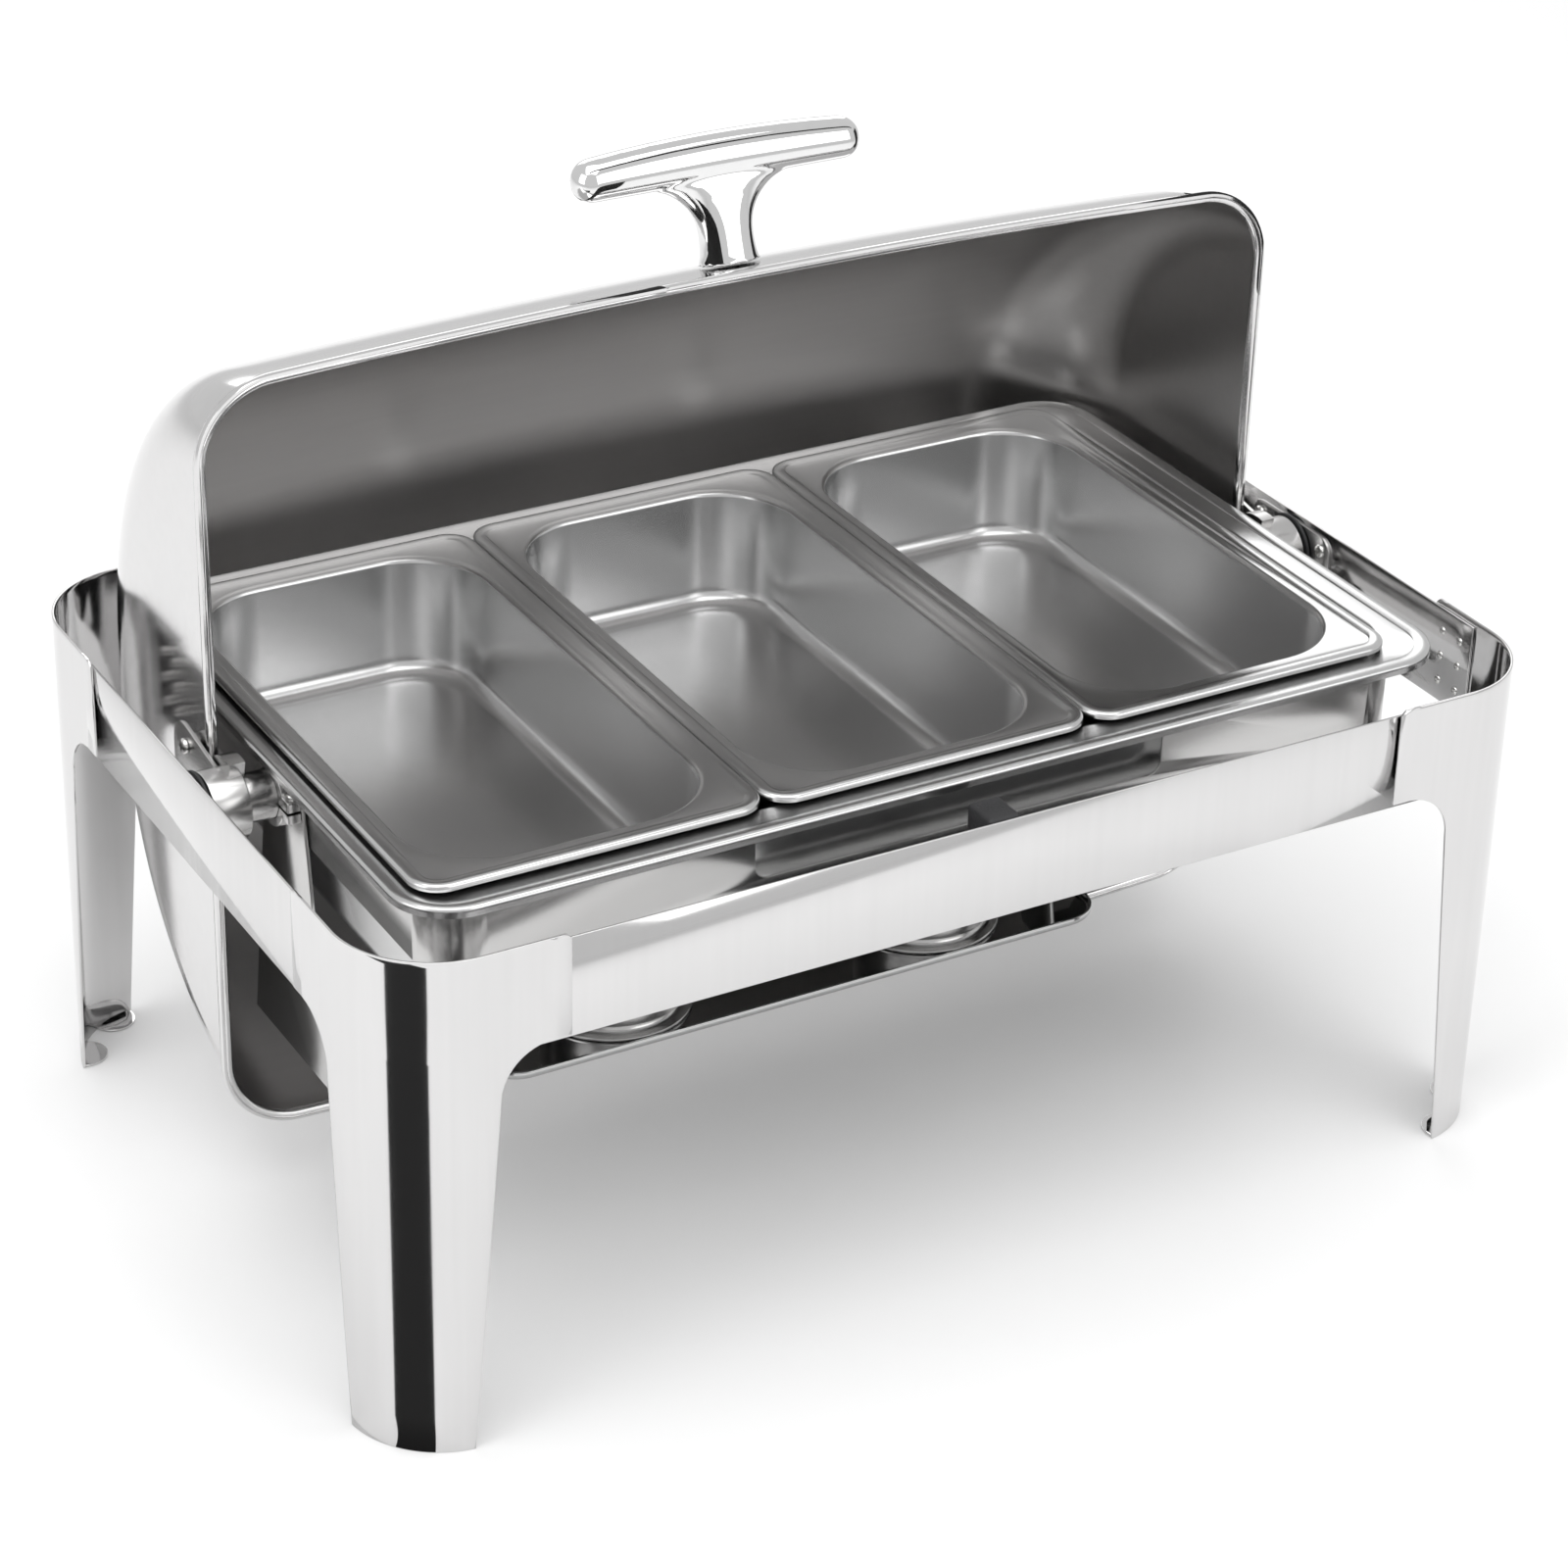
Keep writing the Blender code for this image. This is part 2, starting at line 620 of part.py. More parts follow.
def make_axle_bracket(coll, tools):
    """Split collar round the inner end of the axle, its clamp screw and the hanger plate."""
    inner = BAND_X + GAP
    top = AXIS_Z + 16.0
    plate = [(19.0, top), (-19.0, top), (-44.0, ARM_Z - 4), (44.0, ARM_Z - 4)]
    hanger_x = inner + 1.0
    hanger = sheet("hanger_plate_right", [(hanger_x, y, z) for y, z in plate], 2.0, coll,
                   satin_steel("hanger_steel"))
    start = inner + 2.0 + GAP
    collar = cylinder("axle_bracket_right", (start, 0, AXIS_Z), (start + 7, 0, AXIS_Z), 16.5,
                      coll, satin_steel("axle_bracket_steel"), segments=28)
    ears = box("bracket_ears", (start, -22.5, AXIS_Z - 7), (start + 7, -12, AXIS_Z + 5), tools)
    boolean(collar, ears, "UNION")
    bore = cylinder("bracket_bore", (start - 4, 0, AXIS_Z), (start + 12, 0, AXIS_Z),
                    AXLE_R + GAP, tools, segments=32)
    boolean(collar, bore, "DIFFERENCE")
    split = box("bracket_split", (start - 3, -30, AXIS_Z - 1.8), (start + 12, -8, AXIS_Z - 0.2),
                tools)
    boolean(collar, split, "DIFFERENCE")
    screw_y = -19.4
    screw = cylinder("bracket_screw_right", (start + 3.5, screw_y, AXIS_Z + 5 + GAP),
                     (start + 3.5, screw_y, AXIS_Z + 8.5), 2.7, coll,
                     satin_steel("bracket_screw_steel"), segments=12)
    return [hanger, collar, screw]


def other_side(name):
    return name.replace("right", "left")


def make_hinges(coll, tools):
    moving, fixed = make_hinge_side(coll, tools)
    copies = [mirrored(obj, other_side(obj.name), (1, 0, 0), coll) for obj in moving]
    for obj in fixed:
        mirrored(obj, other_side(obj.name), (1, 0, 0), coll)
    return moving + copies


# ---------------------------------------------------------------- pans

def pan_rings(outer, wall, floor, lip_z, drop, depth, lip_r, wall_r, step=6):
    """Rings of a drawn pan: rolled lip, flat flange, tapered wall and rounded floor."""
    ox, oy = outer
    wx, wy = wall
    fx, fy = floor
    base = lip_z - depth
    shape = [(ox, oy, lip_r, lip_z - drop), (ox, oy, lip_r, lip_z - 1.4),
             (ox - 1.4, oy - 1.4, lip_r - 1.4, lip_z - 0.4),
             (wx + 2.0, wy + 2.0, wall_r + 2.0, lip_z - 0.4),
             (wx, wy, wall_r, lip_z - 2.6),
             (fx + 1.0, fy + 1.0, wall_r - 3.0, base + 8.0),
             (fx - 1.5, fy - 1.5, wall_r - 5.0, base + 2.2),
             (fx - 7.0, fy - 7.0, wall_r - 9.0, base + 0.4)]
    return [[(x, y, z) for x, y in rounded_rect(hx, hy, r, steps=step)] for hx, hy, r, z in shape]


def make_pan(name, rings, offset_x, coll, mat):
    rows = [[(x + offset_x, y, z) for x, y, z in ring] for ring in rings]
    pan = add_object(name, grid_mesh(name, rows, closed=True, cap_last=True), coll, mat)
    solidify(pan, PAN_SHEET)
    return pan


def make_pans(coll):
    rings = pan_rings((WATER_LIP_X, WATER_LIP_Y), (WATER_WALL_X, WATER_WALL_Y),
                      (WATER_WALL_X - 4, WATER_WALL_Y - 4), WATER_LIP_Z, 5.0, WATER_DEPTH, 30.0,
                      25.0)
    make_pan("water_pan", rings, 0.0, coll, satin_steel("water_pan_steel"))
    half_w = FOOD_WIDTH / 2
    half_l = FOOD_LENGTH / 2
    rings = pan_rings((half_w, half_l), (half_w - 13, half_l - 14),
                      (half_w - 17, half_l - 18), FOOD_RIM_Z, 3.3, FOOD_DEPTH, 15.0, 42.0)
    for tag, place in (("left", -1), ("centre", 0), ("right", 1)):
        name = f"food_pan_{tag}"
        make_pan(name, rings, FOOD_SHIFT + place * FOOD_PITCH, coll,
                 satin_steel(name + "_steel"))


# ---------------------------------------------------------------- fuel shelf

def make_shelf(coll):
    """A flat tray with a low turned-up lip and round-cornered ends."""
    middle = (SHELF_Y[0] + SHELF_Y[1]) / 2
    half = (SHELF_Y[1] - SHELF_Y[0]) / 2
    mid = SHELF_SHEET / 2
    base = SHELF_Z + mid
    shape = [(SHELF_X - mid, half - mid, 20.0, SHELF_Z + SHELF_LIP),
             (SHELF_X - mid, half - mid, 20.0, base + 1.5),
             (SHELF_X - mid - 1.5, half - mid - 1.5, 18.5, base)]
    rows = [[(x, y + middle, z) for x, y in rounded_rect(hx, hy, r, steps=6)]
            for hx, hy, r, z in shape]
    shelf = add_object("fuel_shelf", grid_mesh("fuel_shelf", rows, closed=True, cap_last=True),
                       coll, satin_steel("fuel_shelf_steel"))
    solidify(shelf, SHELF_SHEET)


def make_arm(coll):
    """Z-shaped bar from the hanger plate in and down to the shelf, on the right."""
    plate = BAND_X + GAP
    half = 1.0
    out = plate - GAP - half
    foot = SHELF_Z + SHELF_SHEET + GAP + half
    path = [(out, ARM_Z + 16), (out, ARM_Z), (ARM_DROP_X, ARM_Z), (ARM_DROP_X, foot),
            (ARM_DROP_X - 16, foot)]
    rows = [[(x, y, z) for x, z in path] for y in (ARM_Y - ARM_HALF_Y, ARM_Y + ARM_HALF_Y)]
    arm = add_object("shelf_arm_right", grid_mesh("shelf_arm_right", rows), coll,
                     satin_steel("shelf_arm_steel"))
    solidify(arm, 2 * half)
    mirrored(arm, "shelf_arm_left", (1, 0, 0), coll)


def make_cup(name, centre_x, coll):
    """Fuel holder: a cup turned from sheet, with a foot flange that stands on the shelf."""
    base = SHELF_Z + SHELF_SHEET + GAP
    wall = 1.0
    profile = [(CUP_FLANGE_R, base), (CUP_FLANGE_R, base + 1.5), (CUP_R + 2, base + 2.0),
               (CUP_R, base + 5), (CUP_R, base + CUP_HEIGHT - 1.5),
               (CUP_R + 2.0, base + CUP_HEIGHT), (CUP_R - wall, base + CUP_HEIGHT),
               (CUP_R - wall, base + 6), (CUP_R - 4, base + 2.5), (0.0, base + 2.5)]
    steps = 32
    bm = bmesh.new()
    rings = []
    for radius, z in profile[:-1]:
        rings.append([bm.verts.new((centre_x + radius * math.cos(2 * math.pi * i / steps),
                                    CUP_Y + radius * math.sin(2 * math.pi * i / steps), z))
                      for i in range(steps)])
    for lower, upper in zip(rings, rings[1:]):
        for i in range(steps):
            j = (i + 1) % steps
            bm.faces.new((lower[i], lower[j], upper[j], upper[i]))
    bm.faces.new(rings[-1])
    bm.faces.new(rings[0])
    return add_object(name, finish_mesh(bm, name), coll, satin_steel(name + "_steel"))


def make_damper(name, centre_x, coll, tools):
    """Swivelling lid over the cup's mouth, with a round-ended thumb tab."""
    top = SHELF_Z + SHELF_SHEET + GAP + CUP_HEIGHT
    low = top + GAP
    disc = cylinder(name, (centre_x, CUP_Y, low), (centre_x, CUP_Y, low + 1.4), CUP_R + 3, coll,
                    satin_steel(name + "_steel"), segments=32)
    reach = CUP_R + 30
    tab = [(centre_x + CUP_R - 6, CUP_Y - 9), (centre_x + reach, CUP_Y - 9)]
    for i in range(1, 8):
        angle = math.radians(-90 + 180 * i / 8)
        tab.append((centre_x + reach + 9 * math.cos(angle), CUP_Y + 9 * math.sin(angle)))
    tab += [(centre_x + reach, CUP_Y + 9), (centre_x + CUP_R - 6, CUP_Y + 9)]
    handle = prism(name + "_tab", [(x, y, low) for x, y in tab], (0, 0, 1.4), tools)
    boolean(disc, handle, "UNION")
    vent = cylinder(name + "_vent", (centre_x, CUP_Y, low - 3), (centre_x, CUP_Y, low + 4), 11.0,
                    tools, segments=24)
    boolean(disc, vent, "DIFFERENCE")
    return disc


def make_damper_pin(name, centre_x, coll):
    base = SHELF_Z + SHELF_SHEET + GAP + CUP_HEIGHT + 2 * GAP + 1.4
    place = damper_axis(centre_x)
    return cylinder(name, (*place, base), (*place, base + 2.0), 3.2, coll,
                    satin_steel(name + "_steel"), segments=12, end_radius=2.4)


def damper_axis(centre_x):
    """Each damper swivels about a pin at the back of its cup's rim."""
    return (centre_x, CUP_Y + CUP_R - 0.5)


def make_fuel(coll, tools):
    make_shelf(coll)
    make_arm(coll)
    top = SHELF_Z + SHELF_SHEET + GAP + CUP_HEIGHT
    for tag, side in (("left", -1), ("right", 1)):
        centre = side * CUP_X
        make_cup(f"fuel_cup_{tag}", centre, coll)
        damper = make_damper(f"damper_{tag}", centre, coll, tools)
        make_damper_pin(f"damper_pin_{tag}", centre, coll)
        axis = pivot(f"damper_{tag}_axis", (*damper_axis(centre), top), coll)
        attach([damper], axis)


# ---------------------------------------------------------------- whole object

def main():
    clear_scene()
    coll = new_collection("roll_top_chafer")
    tools = new_collection("cutters")
    make_legs(coll, tools)
    make_rails(coll)
    make_bumper(coll)
    make_support_band(coll, tools)
    lid_pieces = [make_lid_shell(coll), make_handle(coll, tools)]
    lid_pieces += make_hinges(coll, tools)
    attach(lid_pieces, pivot("lid_axis", (0, 0, AXIS_Z), coll))
    make_pans(coll)
    make_fuel(coll, tools)
    hide_tools(tools)


main()
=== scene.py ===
"""Looks of the roll top chafer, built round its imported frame.

Lengths are in millimetres until a mesh is made, in the frame of the CAD model: +X runs along
the length, +Y to the back and +Z up, and the lid is rolled open.
"""
import math

import bmesh
import bpy
from mathutils import Matrix, Vector


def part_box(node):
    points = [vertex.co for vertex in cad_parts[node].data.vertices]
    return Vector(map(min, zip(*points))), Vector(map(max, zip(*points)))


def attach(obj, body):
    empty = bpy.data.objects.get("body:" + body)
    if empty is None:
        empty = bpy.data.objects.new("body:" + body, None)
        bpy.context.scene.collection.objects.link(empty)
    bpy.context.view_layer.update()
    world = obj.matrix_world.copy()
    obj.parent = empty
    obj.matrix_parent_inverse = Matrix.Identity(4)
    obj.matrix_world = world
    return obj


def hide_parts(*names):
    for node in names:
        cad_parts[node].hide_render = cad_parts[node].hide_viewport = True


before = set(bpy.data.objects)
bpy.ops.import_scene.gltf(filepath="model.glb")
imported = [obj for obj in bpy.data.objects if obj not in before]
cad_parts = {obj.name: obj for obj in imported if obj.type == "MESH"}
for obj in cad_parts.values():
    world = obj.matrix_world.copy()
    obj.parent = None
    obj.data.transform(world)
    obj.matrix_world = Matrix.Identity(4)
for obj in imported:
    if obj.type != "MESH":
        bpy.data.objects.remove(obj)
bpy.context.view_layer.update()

MM = 0.001
GAP = 0.3                # clearance between pieces that touch
SHEET = 1.2              # stand sheet thickness
AXIS_Z = 240.0           # height of the lid's pivot
CREASE = 35.0            # edges sharper than this stay sharp, in degrees

# Stand
CORNER_R = 50.0          # outer radius of each leg's corner
TAB_REACH = 93.0         # leg tabs reach this far from the corner
FOOT_REACH = 43.5        # leg width at the floor, from the corner
KNEE_REACH = 58.0        # leg width where the arch starts
KNEE_Z = 185.0
ARCH_R = 26.0            # corner of the arch, from the knee to its flat top
ARCH_REACH = KNEE_REACH + ARCH_R
TAB_LOW = KNEE_Z + ARCH_R
TAB_CHAMFER = 2.5
FOOT_TAB_R = 12.0
FOOT_TAB_IN = 6.0        # a foot tab's centre is this far inside the leg's face
RIVET_TOP = 248.0
RIVET_PITCH = 14.0
RIVET_REACHES = (70.0, 84.0)

# Lid
LID_R = 198.0            # barrel radius about the pivot
LID_X = 293.0            # half length to the end walls
LID_RIM_Y = 25.0         # where the shell ends and the bead starts
LID_SHEET = 1.0
LID_CROWN = 7.5          # the barrel bulges this much more at its middle
BACK_FILLET = 60.0       # barrel to end wall, at the back of the lid
MOUTH_FILLET = 35.0      # the same at the mouth
HANDLE_ANGLE = 73.5      # handle direction, from +Y towards +Z
HANDLE_R = 256.7         # pivot to the grip's centre line
GRIP_HALF = 79.0
GRIP_THICK = 10.3        # half thickness at the grip's ends
GRIP_CROWN = 4.0         # its back is crowned by this much
GRIP_STRAIGHT = 0.87     # share of the half length before the ends round off

# Hinge
AXLE_R = 12.0
AXLE_BORE_R = 9.5
KNUCKLE_R = 18.0
KNUCKLE_IN = 292.0       # inner end face of the knuckle's barrel
KNUCKLE_OUT = 310.5
FLANGE_X = 298.6         # inner face of the knuckle's flange
FLANGE_T = 2.0
FLANGE_BACK = 58.0
FLANGE_HALF = 22.0
FLANGE_CORNER = 14.0
BOSS_Y = 42.0
BOSS_RISE = 11.0
BOSS_R = 5.5
BOSS_LENGTH = 6.3
SLOT_ANGLES = (-13.0, 103.0)
SLOT_RADII = (9.45, 23.1)
SLOT_DEPTH = 7.7
PLATE_CORNER = 9.0
COLLAR_R = 16.5
HANGER_HALF = 19.0       # half width at the top of a hanger plate

# Pans
PAN_SHEET = 0.8
WATER_WALL = (262.5, 156.5)
FOOD_WALL = (75.0, 148.5)
WALL_TAPER = 4.0         # a pan's floor is this much smaller on each side
BAND_X = 267.2
BAND_Y = 163.2
BAND_R = 26.0
NOTCH_X = (-105.0, 120.0)
NOTCH_Z = 231.0
NOTCH_CORNER = 7.0

# Fuel shelf
SHELF_SHEET = 1.5
SHELF_CORNER = 20.0
CUP_R = 35.0
CUP_FLANGE_R = 42.0
CUP_WALL = 1.0
DAMPER_R = 38.0
DAMPER_TAB_R = 9.0
VENT_R = 11.0
ARM_Z = 100.0
ARM_DROP_X = 166.0
ARM_HALF = 1.0           # half thickness of a shelf arm
ARM_BEND = 3.5


# ---------------------------------------------------------------- materials

EVEN = (1.0, 1.0, 1.0)
ALONG_X = (0.04, 1.0, 1.0)
ALONG_Y = (1.0, 0.04, 1.0)
ALONG_Z = (1.0, 1.0, 0.04)


def new_material(name, colour, roughness, metallic):
    mat = bpy.data.materials.new(name)
    mat.use_nodes = True
    shader = mat.node_tree.nodes["Principled BSDF"]
    shader.inputs["Base Color"].default_value = (*colour, 1.0)
    shader.inputs["Roughness"].default_value = roughness
    shader.inputs["Metallic"].default_value = metallic
    return mat, mat.node_tree, shader


def noise(tree, stretch, scale, detail=2.0):
    """Noise in object space, stretched by a scale for each axis."""
    place = tree.nodes.new("ShaderNodeTexCoord")
    mapping = tree.nodes.new("ShaderNodeMapping")
    mapping.inputs["Scale"].default_value = stretch
    texture = tree.nodes.new("ShaderNodeTexNoise")
    texture.inputs["Scale"].default_value = scale
    texture.inputs["Detail"].default_value = detail
    tree.links.new(place.outputs["Object"], mapping.inputs["Vector"])
    tree.links.new(mapping.outputs["Vector"], texture.inputs["Vector"])
    return texture.outputs["Fac"]


def map_range(tree, value, low, high):
    """Spread the middle of a noise over low to high."""
    node = tree.nodes.new("ShaderNodeMapRange")
    node.inputs["From Min"].default_value = 0.3
    node.inputs["From Max"].default_value = 0.7
    node.inputs["To Min"].default_value = low
    node.inputs["To Max"].default_value = high
    tree.links.new(value, node.inputs["Value"])
    return node.outputs["Result"]


def mix_colour(tree, factor, first, second):
    node = tree.nodes.new("ShaderNodeMix")
    node.data_type = "RGBA"
    node.inputs["A"].default_value = (*first, 1.0)
    node.inputs["B"].default_value = (*second, 1.0)
    tree.links.new(factor, node.inputs["Factor"])
    return node.outputs["Result"]


def bump(tree, height, distance):
    node = tree.nodes.new("ShaderNodeBump")
    node.inputs["Distance"].default_value = distance
    tree.links.new(height, node.inputs["Height"])
    return node.outputs["Normal"]


def average(tree, first, second):
    """Mean of two noises."""
    half = tree.nodes.new("ShaderNodeMath")
    half.operation = "MULTIPLY"
    half.inputs[1].default_value = 0.5
    tree.links.new(first, half.inputs[0])
    total = tree.nodes.new("ShaderNodeMath")
    total.operation = "MULTIPLY_ADD"
    total.inputs[1].default_value = 0.5
    tree.links.new(second, total.inputs[0])
    tree.links.new(half.outputs[0], total.inputs[2])
    return total.outputs[0]


def steel(name, tint, rough, spread, grain=EVEN, wave=6e-5):
    """Steel with cloudy gloss, a grain drawn out along one axis and slight waves in the sheet."""
    mat, tree, shader = new_material(name, tint, rough, 1.0)
    gloss = average(tree, noise(tree, EVEN, 14.0, 4.0), noise(tree, grain, 220.0, 3.0))
    tree.links.new(map_range(tree, gloss, rough - spread, rough + spread),
                   shader.inputs["Roughness"])
    darker = tuple(c * 0.955 for c in tint)
    tree.links.new(mix_colour(tree, map_range(tree, gloss, 0.0, 1.0), tint, darker),
                   shader.inputs["Base Color"])
    tree.links.new(bump(tree, noise(tree, EVEN, 9.0, 1.0), wave), shader.inputs["Normal"])
    return mat


def rubber(name):
    mat, tree, shader = new_material(name, (0.018, 0.018, 0.019), 0.55, 0.0)
    grain = noise(tree, EVEN, 900.0, 3.0)
    tree.links.new(map_range(tree, grain, 0.42, 0.66), shader.inputs["Roughness"])
    tree.links.new(mix_colour(tree, grain, (0.014, 0.014, 0.015), (0.028, 0.028, 0.03)),
                   shader.inputs["Base Color"])
    tree.links.new(bump(tree, grain, 4e-5), shader.inputs["Normal"])
    return mat


POLISHED = steel("polished_sheet_steel", (0.69, 0.685, 0.685), 0.09, 0.02, ALONG_Z, 2e-5)
LID_OUT = steel("lid_polished_steel", (0.72, 0.715, 0.715), 0.13, 0.02, ALONG_X, 2e-5)
# The inner steel's tint is darker than the outer's: partly its satin finish, partly painted shade
# for the lid's dim inside.
LID_IN_SHADED = steel("lid_inner_satin_steel_and_painted_shade", (0.54, 0.53, 0.525), 0.30, 0.02, ALONG_X, 3e-5)
SATIN = steel("satin_sheet_steel", (0.58, 0.575, 0.57), 0.24, 0.02, ALONG_X, 2e-5)
SHELF = steel("shelf_mirror_steel", (0.55, 0.55, 0.55), 0.06, 0.02, ALONG_X)
PAN = steel("pan_satin_steel", (0.66, 0.66, 0.66), 0.24, 0.006, ALONG_Y, 1e-5)
FASTENER = steel("fastener_steel", (0.74, 0.735, 0.72), 0.18, 0.04)
CHROME = steel("handle_chrome_metal", (0.80, 0.80, 0.80), 0.035, 0.01, wave=1e-5)
BLACK = rubber("black_rubber_compound")


# ---------------------------------------------------------------- mesh helpers

def to_mesh(bm, name):
    """Turn a mesh in millimetres into a smooth-shaded one in metres."""
    bmesh.ops.remove_doubles(bm, verts=bm.verts, dist=0.001)
    bmesh.ops.recalc_face_normals(bm, faces=bm.faces)
    bmesh.ops.scale(bm, vec=(MM, MM, MM), verts=bm.verts)
    mesh = bpy.data.meshes.new(name)
    bm.to_mesh(mesh)
    bm.free()
    mesh.shade_smooth()
    return mesh


def link(name, mesh, *mats):
    """Put a mesh in the scene as an object with its materials."""
    obj = bpy.data.objects.new(name, mesh)
    bpy.context.scene.collection.objects.link(obj)
    for mat in mats:
        mesh.materials.append(mat)
    return obj


def bake(obj, angle=CREASE):
    """Apply an object's modifiers and mark its creases."""
    bpy.context.view_layer.update()
    graph = bpy.context.evaluated_depsgraph_get()
    mesh = bpy.data.meshes.new_from_object(obj.evaluated_get(graph))
    old = obj.data
    name = old.name
    obj.modifiers.clear()
    obj.data = mesh
    bpy.data.meshes.remove(old)
    mesh.name = name
    mesh.shade_smooth()
    mesh.set_sharp_from_angle(angle=math.radians(angle))
    return obj


def thicken(obj, thickness, material_step=0):
    """Give a surface its sheet thickness, half to each side."""
    mod = obj.modifiers.new("thickness", "SOLIDIFY")
    mod.thickness = thickness * MM
    mod.offset = 0.0
    mod.use_even_offset = True
    mod.material_offset = material_step


def soften(obj, width, segments=2):
    """Round the edges, keeping flat faces flat-looking."""
    mod = obj.modifiers.new("edges", "BEVEL")
    mod.width = width * MM
    mod.segments = segments
    mod.limit_method = "ANGLE"
    mod.angle_limit = math.radians(40.0)
    mod.harden_normals = True


def cut(obj, tool, operation="DIFFERENCE"):
    """Bake a boolean and delete its tool."""
    mod = obj.modifiers.new("cut", "BOOLEAN")
    mod.operation = operation
    mod.solver = "EXACT"
    mod.object = tool
    bake(obj)
    bpy.data.meshes.remove(tool.data)
    return obj


def place(obj, body, slot, *nodes):
    """Ride on a body and stand for CAD nodes; the slot is not used."""
    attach(obj, body)
    if nodes:
        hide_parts(*nodes)
    return obj


def fill_grid(bm, rows, closed=False, cap_first=False, cap_last=False, index=0):
    """Faces between rows of points, with the rows closed into rings if asked."""
    grid = [[bm.verts.new(p) for p in row] for row in rows]
    count = len(rows[0])
    last = count if closed else count - 1
    for lower, upper in zip(grid, grid[1:]):
        for i in range(last):
            j = (i + 1) % count
            face = bm.faces.new((lower[i], lower[j], upper[j], upper[i]))
            face.material_index = index
    if cap_first:
        bm.faces.new(grid[0])
    if cap_last:
        bm.faces.new(grid[-1])


def grid_object(name, rows, *mats, closed=False, cap_last=False):
    bm = bmesh.new()
    fill_grid(bm, rows, closed=closed, cap_last=cap_last)
    return link(name, to_mesh(bm, name), *mats)


def rounded_rect(half_x, half_y, radius, steps=16, centre=(0.0, 0.0)):
    """Outline of a rectangle with round corners, as (x, y)."""
    points = []
    for sx, sy, start in ((1, 1, 0), (-1, 1, 90), (-1, -1, 180), (1, -1, 270)):
        for i in range(steps + 1):
            angle = math.radians(start + 90 * i / steps)
            points.append((centre[0] + sx * (half_x - radius) + radius * math.cos(angle),
                           centre[1] + sy * (half_y - radius) + radius * math.sin(angle)))
    return points


def block(name, low, high, *mats):
    """A box between two corners."""
    bm = bmesh.new()
    corners = [(low[0], low[1]), (high[0], low[1]), (high[0], high[1]), (low[0], high[1])]
    rows = [[(x, y, z) for x, y in corners] for z in (low[2], high[2])]
    fill_grid(bm, rows, closed=True, cap_first=True, cap_last=True)
    return link(name, to_mesh(bm, name), *mats)


def prism(name, outline, depth, *mats):
    """The outline swept along the vector depth."""
    bm = bmesh.new()
    step = Vector(depth)
    rows = [[Vector(p) for p in outline], [Vector(p) + step for p in outline]]
    fill_grid(bm, rows, closed=True, cap_first=True, cap_last=True)
    return link(name, to_mesh(bm, name), *mats)


def lathe(name, profile, base, direction, *mats, steps=48, closed=False):
    """A turned shape: profile holds (radius, distance along direction)."""
    bm = bmesh.new()
    turn = Vector((0, 0, 1)).rotation_difference(Vector(direction).normalized()).to_matrix()
    base = Vector(base)
    rings = []
    for radius, along in profile:
        ring = []
        for i in range(steps if radius > 0 else 1):
            angle = 2 * math.pi * i / steps
            local = Vector((radius * math.cos(angle), radius * math.sin(angle), along))
            ring.append(bm.verts.new(base + turn @ local))
        rings.append(ring)
    if closed:
        rings.append(rings[0])
    for lower, upper in zip(rings, rings[1:]):
        for i in range(steps):
            j = (i + 1) % steps
            corners = [lower[i % len(lower)], lower[j % len(lower)],
                       upper[j % len(upper)], upper[i % len(upper)]]
            unique = list(dict.fromkeys(corners))
            if len(unique) > 2:
                bm.faces.new(unique)
    obj = link(name, to_mesh(bm, name), *mats)
    obj.data.set_sharp_from_angle(angle=math.radians(CREASE))
    return obj


def rounded_lathe(name, radius, length, edge, base, direction, *mats, bore=0.0, steps=48):
    """A round bar or tube with its edges rounded."""
    turns = [math.radians(a) for a in (0, 30, 60, 90)]
    low = [(radius - edge + edge * math.sin(t), edge - edge * math.cos(t)) for t in turns]
    high = [(r, length - a) for r, a in reversed(low)]
    if not bore:
        return lathe(name, [(0, 0)] + low + high + [(0, length)], base, direction, *mats,
                     steps=steps)
    inner_low = [(bore + edge - edge * math.sin(t), edge - edge * math.cos(t)) for t in turns]
    inner_high = [(r, length - a) for r, a in inner_low]
    profile = low + high + inner_high + list(reversed(inner_low))
    return lathe(name, profile, base, direction, *mats, steps=steps, closed=True)


def join(target, *others):
    """Merge other objects' meshes into target's as separate closed shells."""
    bm = bmesh.new()
    for obj in (target, *others):
        bm.from_mesh(obj.data)
    bm.to_mesh(target.data)
    bm.free()
    for obj in others:
        bpy.data.meshes.remove(obj.data)
    target.data.shade_smooth()
    target.data.set_sharp_from_angle(angle=math.radians(CREASE))
    return target


def node_box(node):
    """Low and high corners of a CAD node's box, in millimetres."""
    return [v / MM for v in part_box(node)]


# ---------------------------------------------------------------- stand

STAND_LOW, STAND_HIGH = node_box("leg_front_left")
STAND_X = -STAND_LOW.x
STAND_Y = -STAND_LOW.y
STAND_TOP = STAND_HIGH.z


def leg_edge_rows():
    """Heights up a leg with how far its middle stretch reaches from the corner there."""
    rows = [(FOOT_REACH + (KNEE_REACH - FOOT_REACH) * i / 10, KNEE_Z * i / 10)
            for i in range(11)]
    steps = 16
    for i in range(1, steps + 1):
        angle = math.radians(90 * i / steps)
        rows.append((KNEE_REACH + ARCH_R * (1 - math.cos(angle)),
                     KNEE_Z + ARCH_R * math.sin(angle)))
    rows += [(ARCH_REACH, z) for z in tab_heights()[1:]]
    return rows


def tab_heights():
    """Heights of the rows up a leg's tab, which is narrowed at the last one."""
    return [TAB_LOW, (TAB_LOW + STAND_TOP) / 2, STAND_TOP - TAB_CHAMFER, STAND_TOP]


